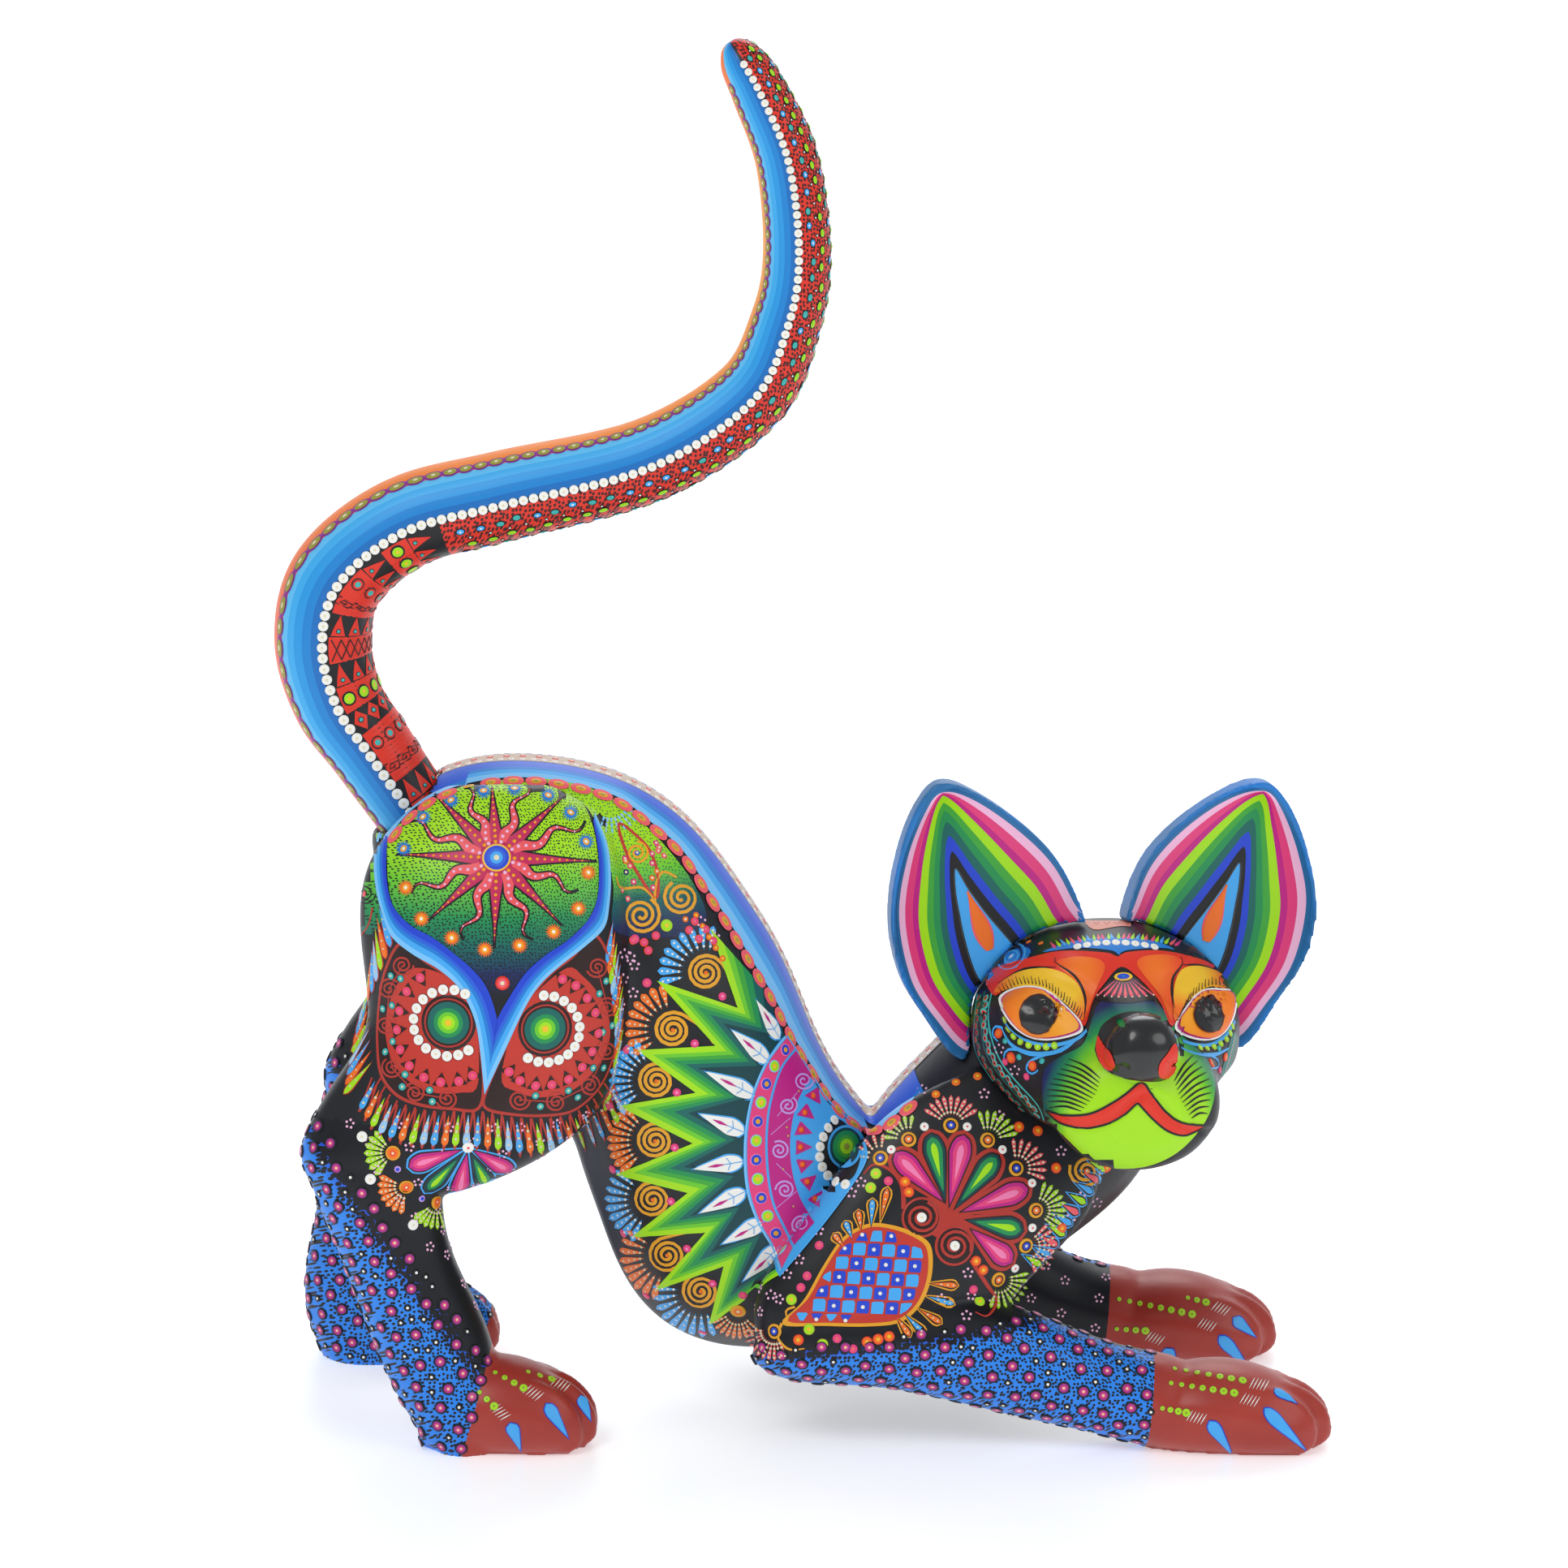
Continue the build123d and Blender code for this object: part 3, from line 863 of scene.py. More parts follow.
def paint_tail_bands(paint, tail):
    """Red bands across the black foot: lattice, teeth, spirals, rings and lime beads."""
    motifs = ["lattice", "teeth", "spiral", "ring", "diamond", "lime", "teeth", "lattice", "teeth",
              "spiral",
              "ring", "teeth", "lime", "teeth"]
    length = (BAND_START - 6) / len(motifs)
    for i, motif in enumerate(motifs):
        low, high = 4 + i * length, 4 + (i + 1) * length - 1.2
        middle = (low + high) / 2
        if motif in ("lattice", "spiral", "ring", "lime"):
            for s in even([(low,), (high,)], 1.4):
                paint.stroke([tail.point(s[0], a) for a in range(11, 170, 7)], 1.5, "red", 0.14)
        if motif == "lattice":
            for a in range(14, 160, 12):
                paint.stroke([tail.point(low, a), tail.point(high, a + 12)], 0.45, "maroon", 0.3)
                paint.stroke([tail.point(high, a), tail.point(low, a + 12)], 0.45, "maroon", 0.3)
        for k, a in enumerate(range(22, 165, 22)):
            if motif == "teeth":
                paint.stroke([tail.point(low + (high - low) * f, a) for f in (0, 0.3, 0.65, 1)],
                             [4.4, 3.2, 1.6, 0.1], "red", 0.2)
                paint.bead(tail.point(low + 1.6, a), [(0.75, "black"), (0.5, "turquoise")], 0.32)
            if motif == "diamond":
                paint.stroke([tail.point(low + (high - low) * f, a) for f in (0, 0.5, 1)], [0.1, 4.6, 0.1],
                             "red", 0.2)
                paint.bead(tail.point(middle, a), [(0.9, "black"), (0.6, "turquoise")], 0.32)
            if motif == "ring":
                paint.bead(tail.point(middle, a), [(2.0, "maroon"), (1.5, "red"), (0.9, "turquoise")], 0.32)
            if motif == "lime":
                paint.bead(tail.point(middle, a), [(2.2, "black"), (1.6, "lime"), (0.5, "yellow")], 0.32)
            if motif == "spiral":
                turns = [(r * 0.5, r * 1.5) for r in range(0, 10)]
                line = [tail.point(middle + reach * 0.5 * math.cos(turn), a + 10 * reach * 0.5
                                   * math.sin(turn) * 0.9) for reach, turn in turns]
                paint.stroke(line, 0.5, "maroon", 0.3)

# ---- head and ears --------------------------------------------------------------------------------------
def head_frame(point):
    """A point of the row in the head's own millimetres."""
    return Matrix.Rotation(-HEAD_YAW, 3, "Z") @ (point / MM - DATUM - HEAD_CENTRE)


def bump(distance, reach):
    """1 in the middle, falling smoothly to 0 at reach."""
    f = min(abs(distance) / reach, 1.0)
    return (1 - f * f) ** 2


MOUTH = [(-25, -13.5), (-17, -16.2), (-9, -12.5), (0, -6), (7.5, -13.5), (14, -18), (20, -19.5)]
JAW = Vector((26.0, -14.0, -22.0))          # middle of the left jaw, which is slimmer than the blank's
JAW_REACH = (19.0, 34.0, 17.0)
JAW_PUSH = Vector((-3.4, 0.0, 3.1))


def carve_head():
    """The head's skin, with raised eyes and brows, a cut mouth and nostrils, and open ear sockets."""
    head = skin(blank(["head"], "head_skin"), 0.85, 5)
    mouth = even(smooth_line(MOUTH), 1.0)
    for vertex in head.data.vertices:
        p = head_frame(vertex.co)
        lift = 0.0
        jaw = math.hypot(*[(a - b) / reach for a, b, reach in zip(p, JAW, JAW_REACH)])
        push = Matrix.Rotation(HEAD_YAW, 3, "Z") @ JAW_PUSH * bump(jaw, 1.0)
        if p.y > -8:
            vertex.co = vertex.co + push * MM
            continue
        for side in (-1, 1):
            eye = math.hypot((p.x - side * 24) / 12.5, (p.z - 12) / 8.0)
            lift += 1.5 * bump(eye, 1.1)
            lift -= 0.7 * bump(eye - 1.25, 0.3)
            brow = math.hypot((p.x - side * 22) / 17.0, (p.z - 23.5) / 4.5)
            lift += 1.1 * bump(brow, 1.0)
            if p.y < -50:
                lift -= 1.6 * bump(math.hypot((p.x - side * 7.0) / 3.2, (p.z - 2.0) / 3.6), 1.0)
        if p.z < 0:
            gap = min(math.dist((p.x, p.z), q) for q in mouth)
            lift -= 0.8 * bump(gap, 1.8)
        vertex.co = vertex.co + (vertex.normal * lift + push) * MM
    head.data.update()
    for side in ("left", "right"):
        drill = swell(blank(["ear_peg_" + side], "drill"), 0.06)
        cut(head, drill, "DIFFERENCE")
        discard(drill)
    sharpen(head)
    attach(head, CARVING)
    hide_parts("head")
    return head


def stretch_ear(obj, side):
    """Draws the tip of the right ear out a little further than the blank's."""
    if side == "left":
        return
    for vertex in obj.data.vertices:
        p = head_frame(vertex.co)
        share = max(0.0, (p.z - 20) / 50)
        vertex.co = vertex.co + Vector((-2.6 * share, 0, 3.0 * share)) * MM
    obj.data.update()


def carve_ears():
    ears = {}
    for side in ("left", "right"):
        ear = skin(blank(["ear_" + side], f"ear_{side}_skin"), 0.8, 4)
        drill = blank(["ear_peg_" + side], "drill")
        cut(ear, drill, "DIFFERENCE")
        discard(drill)
        sharpen(ear)
        stretch_ear(ear, side)
        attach(ear, f"ear_{side}_body")
        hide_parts("ear_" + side)
        ears[side] = ear
    return ears


# Outline of an ear and of the drop in it, out from the head's middle and up.
EAR_RIM = [
    (3, 27), (7.5, 38), (13.5, 49.5), (24.5, 60), (37.5, 68.5), (47, 71), (52.8, 65.5),
    (59, 51.5), (62.2, 35), (59, 16.5), (50.8, 3), (41, -7.5), (30, -4), (16, 8),
]
EAR_DROP = [
    (23, 21), (25.5, 24), (28.5, 27.5), (33, 33), (38, 40), (42, 46.5), (42.3, 40),
    (41.3, 33), (40.3, 27), (38.3, 19), (35.5, 13), (31, 9), (26, 10), (22.5, 15),
]
EAR_TIP = 35            # the point of the smoothed rim that is the ear's tip
# Bands from rim to drop: where each starts on the sides, where it starts at the tip, and its colour.
EAR_BANDS = [
    (0.0, 0.0, "ear_blue"), (0.05, 0.03, "pale_pink"), (0.15, 0.035, "hot_pink"), (0.27, 0.045, "magenta"),
    (0.36, 0.07, "lime"), (0.49, 0.17, "green"), (0.59, 0.28, "leaf"), (0.69, 0.42, "teal"),
    (0.79, 0.6, "royal"),
    (0.89, 0.8, "black"), (1.0, 1.0, None),
]


def paint_ear(name, obj):
    """Nested leaves of colour round a sky-blue drop."""
    side = 1 if name == "left" else -1
    paint = Paint(f"ear_{name}_paint", f"ear_{name}_body", tree_of(obj))

    def place(u, v):
        share = max(0.0, (v - 20) / 50) if side < 0 else 0.0
        u, v = u + 2.6 * share, v + 3.0 * share
        start = head_at(side * u, -60, v)
        along = head_at(side * u, 40, v) - start
        hit = paint.tree.ray_cast(start, along.normalized())[0]
        return hit

    rim = [toward((32, 28), p, 0.985) for p in smooth_line(EAR_RIM, 7, True)]
    drop = smooth_line(EAR_DROP, 7, True)
    rim.append(rim[0])
    drop.append(drop[0])
    count = len(rim) - 1
    near_tip = [max(0.0, 1 - abs(i - EAR_TIP) / (0.2 * count)) ** 2 for i in range(count + 1)]
    for (start, tip_start, colour), (stop, tip_stop, after) in zip(EAR_BANDS, EAR_BANDS[1:]):
        edges = []
        for side_share, tip_share in ((start, tip_start), (stop, tip_stop)):
            shares = [side_share + (tip_share - side_share) * w for w in near_tip]
            edges.append([(a + (c - a) * f, b + (d - b) * f) for (a, b), (c, d),
                          f in zip(rim, drop, shares)])
        paint.band(edges[0], edges[1], place, colour, 0.12, 2)
    paint.field(drop[:-1], place, "sky", 0.12, 1.6)
    edge = [spot for spot in (place(u, v) for u, v in drop) if spot is not None]
    paint.stroke(edge, 0.5, "gloss_black", 0.35)
    tear = [place(u, v) for u, v in even([(38.5, 39.5), (36.5, 34), (34, 27), (32.5, 22.5)], 1.0)]
    tear = [spot for spot in tear if spot is not None]
    count = len(tear) - 1
    for colour, scale, height in (("coral", 1.0, 0.34), ("orange", 0.78, 0.46)):
        widths = [scale * (0.3 + 5.4 * math.sin(math.pi * min(1, (i / count) ** 1.5 * 0.86 + 0.02)))
                  for i in range(count + 1)]
        paint.stroke(tear, widths, colour, height, 4)
    return paint.dry()

# ---- motifs ---------------------------------------------------------------------------------------------
VIEW_TILT = math.radians(12)
VIEW_DISTANCE = 1.7
VIEW_AIM = Vector((0.0, 0.0, 188.0))


def spread(values, count):
    """count numbers that run through a list of values."""
    if isinstance(values, (int, float)):
        return [values] * count
    found = []
    for i in range(count):
        t = (len(values) - 1) * i / max(1, count - 1)
        k = min(int(t), len(values) - 2)
        found.append(values[k] + (values[k + 1] - values[k]) * (t - k))
    return found


def matched(line, count=24):
    """A smooth line through (u, v) points, as exactly count even steps."""
    fine = smooth_line(line, 8)
    length = sum(math.dist(a, b) for a, b in zip(fine, fine[1:]))
    return even(fine, length / count)


def drop_widths(width, count, thick=0.7):
    """Widths of a drop: pointed where it starts, widest at thick, round where it ends."""
    found = []
    for i in range(count):
        t = i / (count - 1)
        f = (t / thick) ** 0.9 if t < thick else math.sqrt(max(0.0, 1 - ((t - thick) / (1 - thick)) ** 2))
        found.append(max(0.05, width * f))
    return found


def toward(a, b, f):
    """The point at share f of the way from a to b."""
    return tuple(p + (q - p) * f for p, q in zip(a, b))


class Panel:
    """Designs drawn flat, in (u, v) millimetres, as seen by someone in front of the cat's right side.

    u runs like the datum's X and v like its Z, at depth millimetres in front of the middle plane. side is -1
    for the cat's right side and 1 for its left, where everything is mirrored.
    """

    def __init__(self, paint, depth, side=-1, ball=None):
        """ball is (centre, radius in millimetres): nothing is drawn beyond it when it is given."""
        self.paint, self.depth, self.side, self.ball = paint, depth, side, ball

    def place(self, u, v):
        eye = VIEW_AIM + Vector((0, -math.cos(VIEW_TILT), math.sin(VIEW_TILT))) * VIEW_DISTANCE / MM
        start = at(eye.x, -self.side * eye.y, eye.z)
        spot = self.paint.spot(start, at(u, self.side * self.depth, v) - start)
        if spot is not None and self.ball and (spot - self.ball[0]).length > self.ball[1] * MM:
            return None
        return spot

    def line(self, points, widths, colour, height=0.2, curved=True, closed=False, step=1.1):
        path = smooth_line(points, 6, closed) if curved else list(points)
        if closed:
            path.append(path[0])
        path = even(path, step)
        widths = spread(widths, len(path))
        run = []
        for (u, v), width in zip(path, widths):
            spot = self.place(u, v)
            broken = spot is None or (run and (spot - run[-1][0]).length > 4 * MM + 2 * step * MM)
            if broken and len(run) > 1:
                self.paint.stroke([p for p, w in run], [w for p, w in run], colour, height)
            run = [] if broken else run
            if spot is not None:
                run.append((spot, width))
        if len(run) > 1:
            self.paint.stroke([p for p, w in run], [w for p, w in run], colour, height)

    def bead(self, spot, rings, height=0.35):
        place = self.place(*spot)
        if place is not None:
            self.paint.bead(place, rings, height)

    def beads(self, spots, rings, height=0.35):
        for spot in spots:
            self.bead(spot, rings, height)

    def field(self, outline, colour, height=0.1, spacing=2.0, curved=True):
        line = smooth_line(outline, 5, True) if curved else list(outline)
        self.paint.field(line, self.place, colour, height, spacing)

    def band(self, first, second, colour, height=0.1, rows=1):
        self.paint.band(first, second, self.place, colour, height, rows)

    def bands(self, first, second, shares, height=0.1, rows=1):
        """Nested bands between two lines; shares are (share where it starts, colour), the last with None."""
        for (start, colour), (stop, after) in zip(shares, shares[1:]):
            edges = [[toward(a, b, f) for a, b in zip(first, second)] for f in (start, stop)]
            self.band(edges[0], edges[1], colour, height, rows)

    def drop(self, start, stop, layers, height=0.2, thick=0.7):
        """Nested drops from a point to a round end; layers are (share of the size, width, colour)."""
        middle = toward(start, stop, thick)
        for i, (share, width, colour) in enumerate(layers):
            a, b = toward(middle, start, share), toward(middle, stop, share)
            path = even([a, b], 0.8 if math.dist(a, b) < 8 else 1.1)
            if len(path) < 7:
                path = [toward(a, b, k / 6) for k in range(7)]
            self.line(path, drop_widths(width, len(path), thick), colour, height + 0.09 * i, False,
                      step=math.dist(a, b) / (len(path) - 1))

    def spiral(self, centre, radius, turns, width, colour, start=0.0, way=1, height=0.22):
        count = max(8, int(turns * 13))
        path = []
        for i in range(count + 1):
            f = i / count
            path.append(polar(*centre, radius * (0.12 + 0.88 * f), start + way * 360 * turns * (f - 1)))
        self.line(path, width, colour, height, False, step=0.7)

    def fan(self, centre, start, stop, count, near, far, width, colour, tip=None, height=0.24):
        """Dabs that spread from a centre, each with a row of fine dots when tip is given."""
        for i in range(count):
            turn = start + (stop - start) * i / max(1, count - 1)
            a, b = polar(*centre, near, turn), polar(*centre, far, turn)
            self.drop(a, b, [(1.0, width, colour)], height, 0.75)
            if tip:
                for f in (0.15, 0.38, 0.6, 0.82):
                    self.bead(toward(a, b, f), [(0.38, tip)], height + 0.2)

    def five(self, spot, colour="pale_pink", size=0.42):
        """A little flower of five dots."""
        for k in range(5):
            self.bead(polar(*spot, 1.25, 90 + 72 * k), [(size, colour)], 0.22)

    def nested(self, outline, centre, layers, height=0.1, spacing=2.0):
        """The same outline shrunk towards a centre, layer on layer: (share, colour)."""
        for i, (share, colour) in enumerate(layers):
            self.field([toward(centre, p, share) for p in outline], colour, height + 0.11 * i, spacing)

# ---- face -----------------------------------------------------------------------------------------------
def radial_paint(name, stops, centre, radii):
    """Paint that shades outwards from a centre: 0 there and 1 on the ellipsoid of the given radii."""
    paint, tree, body = shader(name)
    place = tree.nodes.new("ShaderNodeTexCoord")
    away = tree.nodes.new("ShaderNodeVectorMath")
    away.operation = "SUBTRACT"
    away.inputs[1].default_value = centre
    link(tree, place.outputs["Object"], away.inputs[0])
    share = tree.nodes.new("ShaderNodeVectorMath")
    share.operation = "MULTIPLY"
    share.inputs[1].default_value = [1 / (radius * MM) for radius in radii]
    link(tree, away.outputs["Vector"], share.inputs[0])
    length = tree.nodes.new("ShaderNodeVectorMath")
    length.operation = "LENGTH"
    link(tree, share.outputs["Vector"], length.inputs[0])
    link(tree, ramp(tree, length.outputs["Value"], stops), body.inputs["Base Color"])
    brushed(tree, body)
    return paint


EYE_RIGHT = [
    (61.8, 135.7), (67.8, 139.1), (74.9, 138.4), (81.4, 133.1), (86.3, 126.6), (80.4, 123.8), (72.5, 123.7),
    (65.7, 127.9),
]
EYE_LEFT = [
    (111.9, 126.7), (114.7, 132.5), (119.2, 137.8), (125.6, 138.4), (129.5, 136.9), (128.6, 129.6),
    (124.5, 124.1), (117.7, 123.5),
]
BROW = [
    (58.6, 143.5), (60.1, 136.6), (64.0, 138.4), (71.2, 139.8), (78.0, 137.5), (83.0, 132.5), (86.3, 127.3),
    (88.7, 134.9), (91.5, 139.5), (96.5, 145.0), (102.2, 141.0), (107.9, 134.3), (111.2, 127.3),
    (114.0, 132.5), (118.5, 138.0), (124.0, 139.3), (129.2, 137.2), (126.7, 142.4), (120.2, 146.9),
    (108.3, 149.7), (98.2, 149.3), (95.5, 147.9), (92.5, 149.1), (80.7, 149.7), (72.3, 148.2),
]
LID_ORANGE_RIGHT = [
    (86.5, 129.0), (86.6, 134.0), (83.6, 140.7), (77.9, 145.9), (81.3, 147.6), (85.8, 147.9), (90.3, 147.1),
    (92.0, 144.8), (90.0, 139.5), (88.2, 134.3),
]
LID_ORANGE_LEFT = [
    (111.2, 128.5), (107.9, 136.0), (102.2, 143.6), (101.0, 146.5), (103.8, 148.2), (110.3, 148.4),
    (114.1, 146.5), (111.7, 142.4), (111.0, 136.5),
]
LID_YELLOW_RIGHT = [
    (60.4, 137.2), (64.4, 142.1), (73.4, 144.7), (81.3, 142.7), (85.4, 137.4), (86.2, 129.0), (80.3, 134.6),
    (73.5, 138.9), (67.0, 139.0),
]
LID_YELLOW_LEFT = [
    (111.9, 129.0), (111.7, 138.0), (113.7, 144.2), (119.4, 145.1), (125.3, 142.7), (129.0, 137.6),
    (122.3, 139.1), (116.4, 135.4),
]
LID_LINES = [
    [(77.8, 147.6), (77.9, 146.2), (83.6, 142.1), (86.3, 136.0), (86.4, 129.6)],
    [(77.9, 144.9), (68.9, 144.3), (61.6, 140.0)],
    [(113.3, 147.9), (114.0, 146.0), (111.4, 142.0), (111.2, 137.0), (111.9, 131.5)],
    [(114.0, 145.6), (119.5, 145.3), (125.9, 143.0)],
]
NOSE = [
    (90.1, 121.5), (91.7, 127.3), (96.7, 130.7), (102.6, 131.2), (108.0, 129.5), (111.4, 125.0),
    (112.6, 118.5), (110.9, 112.8), (105.4, 111.8), (98.0, 112.7), (93.0, 114.0), (90.5, 117.5),
]
NOSTRIL_RIGHT = [(90.6, 124.3), (92.2, 122.3), (94.5, 120.0), (95.4, 116.5), (93.2, 114.2), (91.0, 116.8)]
NOSTRIL_LEFT = [(111.6, 122.3), (112.4, 117.5), (111.2, 113.2), (107.6, 113.3), (107.6, 116.8),
                (109.6, 119.6)]
LIP_TOP = [
    (75.6, 102.5), (80.0, 101.3), (84.6, 101.1), (89.1, 101.9), (94.2, 104.5), (98.7, 107.7),
    (102.4, 111.0),
    (103.6, 110.6), (108.3, 103.9), (112.3, 100.1), (116.0, 98.7), (120.9, 98.1),
]
LIP_LOW = [
    (75.8, 102.2), (79.5, 98.9), (84.1, 97.5), (89.2, 97.5), (94.2, 98.9), (98.2, 101.3), (101.6, 104.6),
    (102.0, 104.6), (106.4, 99.8), (111.0, 96.2), (116.0, 95.2), (120.7, 97.7),
]
MUZZLE = [
    (74.8, 114.0), (74.6, 105.1), (76.2, 98.0), (81.0, 91.3), (88.7, 86.6), (98.0, 85.2), (107.0, 86.6),
    (115.3, 91.6), (122.2, 101.0), (124.0, 111.0), (121.0, 118.5), (114.2, 124.8), (111.0, 129.0),
    (106.8, 134.3), (98.0, 136.3), (90.6, 134.6), (88.2, 128.5), (85.8, 122.0), (79.0, 118.2),
]
WHISKERS_RIGHT = [[(81.9, 117.7), (91.0, 112.0)], [(76.3, 109.5), (89.7, 107.4)],
                  [(76.7, 103.4), (85.7, 102.3)]]
WHISKERS_LEFT = [[(117.5, 118.8), (112.2, 111.2)], [(122.7, 110.8), (114.0, 105.8)],
                 [(121.8, 101.6), (117.2, 100.1)]]


NOSE_MIDDLE = (0, -49.5, 6)      # in the head's own millimetres
NOSE_REACH = 17.0


def eye(panel, outline, pupil, radii, low):
    """An almond eye: white rim, magenta line, orange iris and a glossy black pupil."""
    panel.field(outline, "white", 0.42, 1.4)
    middle = (sum(p[0] for p in outline) / len(outline), sum(p[1] for p in outline) / len(outline))
    panel.field([toward(middle, p, 0.93) for p in outline], "magenta", 0.58, 1.2)
    panel.field([toward(middle, p, 0.885) for p in outline], "iris", 0.84, 1.2)
    across, up = radii
    ring = [(pupil[0] + across * math.cos(t), pupil[1] + up * math.sin(t))
            for t in [math.pi * k / 10 for k in range(20)]]
    panel.nested(ring, pupil, [(1.08, "maroon"), (1.0, "gloss_black")], 1.2, 1.0)
    panel.line(low, 1.1, "sky", 0.34)


def lashes(panel, rim, count, lean):
    """Short black strokes that stand on the upper lid."""
    path = matched(rim, count)
    for i, (u, v) in enumerate(path):
        reach = 2.3 + 0.5 * (i % 2)
        tip = (u + lean * (0.9 - 1.5 * i / count), v + reach)
        panel.line([(u, v + 0.4), tip], [0.36, 0.1], "black", 0.6, False, step=0.8)


def whiskers(panel, rows, count=10):
    """Brushed lines that sag a little, across the muzzle."""
    starts = matched([row[0] for row in rows], count - 1)
    ends = matched([row[1] for row in rows], count - 1)
    for a, b in zip(starts, ends):
        middle = toward(a, b, 0.5)
        panel.line([a, (middle[0], middle[1] + 0.9), b], [0.2, 0.55, 0.65, 0.15], "black", 0.4, step=0.9)


def paint_face(panel):
    radial_paint("muzzle_paint", [(0.0, "lime"), (0.70, "lime"), (0.79, "mid_green"), (0.87, "leaf"),
                                  (0.94, "teal"), (1.0, "navy")], at(101, -62, 97), (29, 42, 40))
    radial_paint("lid_orange_1", [(0.0, "tangerine"), (0.55, "orange"), (1.0, "scarlet")],
                 at(86, -50, 146), (9, 30, 18))
    radial_paint("lid_orange_2", [(0.0, "tangerine"), (0.55, "orange"), (1.0, "scarlet")],
                 at(108, -50, 146), (9, 30, 18))
    radial_paint("lid_yellow_1", [(0.0, "yellow"), (0.6, "yellow"), (1.0, "orange")],
                 at(76, -50, 138), (17, 40, 9))
    radial_paint("lid_yellow_2", [(0.0, "yellow"), (0.6, "yellow"), (1.0, "orange")],
                 at(119, -50, 139), (14, 40, 9))
    radial_paint("iris", [(0.0, "amber"), (0.45, "amber"), (0.62, "tangerine"), (1.0, "scarlet")],
                 at(97, -50, 131), (46, 80, 22))
    panel.field(MUZZLE, "muzzle_paint", 0.12, 1.8)
    panel.field(BROW, "red", 0.2, 1.6)
    panel.field(LID_ORANGE_RIGHT, "lid_orange_1", 0.3, 1.5)
    panel.field(LID_ORANGE_LEFT, "lid_orange_2", 0.3, 1.5)
    panel.field(LID_YELLOW_RIGHT, "lid_yellow_1", 0.38, 1.5)
    panel.field(LID_YELLOW_LEFT, "lid_yellow_2", 0.38, 1.5)
    for line in LID_LINES:
        panel.line(line, [0.15, 0.7, 0.8, 0.15], "black", 0.5)
    eye(panel, EYE_RIGHT, (73.2, 131.0), (4.9, 4.9),
        [(62.5, 131.0), (65.2, 126.6), (71.0, 122.8), (78.0, 122.0), (84.0, 123.6), (87.2, 126.4)])
    eye(panel, EYE_LEFT, (121.3, 130.8), (4.0, 4.9),
        [(110.8, 125.6), (115.0, 122.9), (121.4, 121.8), (126.4, 124.4), (129.3, 129.0)])
    lashes(panel, [(63.0, 136.7), (67.8, 139.3), (74.9, 138.6), (81.4, 133.5), (85.0, 129.3)], 26, -1.4)
    lashes(panel, [(113.0, 129.4), (116.7, 135.6), (122.3, 139.0), (128.0, 138.0)], 18, 1.2)
    nose = Panel(panel.paint, panel.depth, ball=(head_at(*NOSE_MIDDLE), NOSE_REACH))
    nose.field(NOSE, "gloss_black", 0.9, 1.3)
    nose.field(NOSTRIL_RIGHT, "red", 1.15, 1.1)
    nose.field(NOSTRIL_LEFT, "red", 1.15, 1.1)
    top, low = matched(LIP_TOP, 60), matched(LIP_LOW, 60)
    panel.band(top, low, "red", 0.3, 3)
    panel.line(LIP_TOP[:7], 0.65, "black", 0.5)
    panel.line(LIP_TOP[6:], 0.65, "black", 0.5)
    panel.line(LIP_LOW[:7], 0.6, "black", 0.5)
    panel.line(LIP_LOW[6:], 0.6, "black", 0.5)
    whiskers(panel, WHISKERS_RIGHT)
    whiskers(panel, WHISKERS_LEFT)
    paint_forehead(panel)
    paint_cheeks(panel)


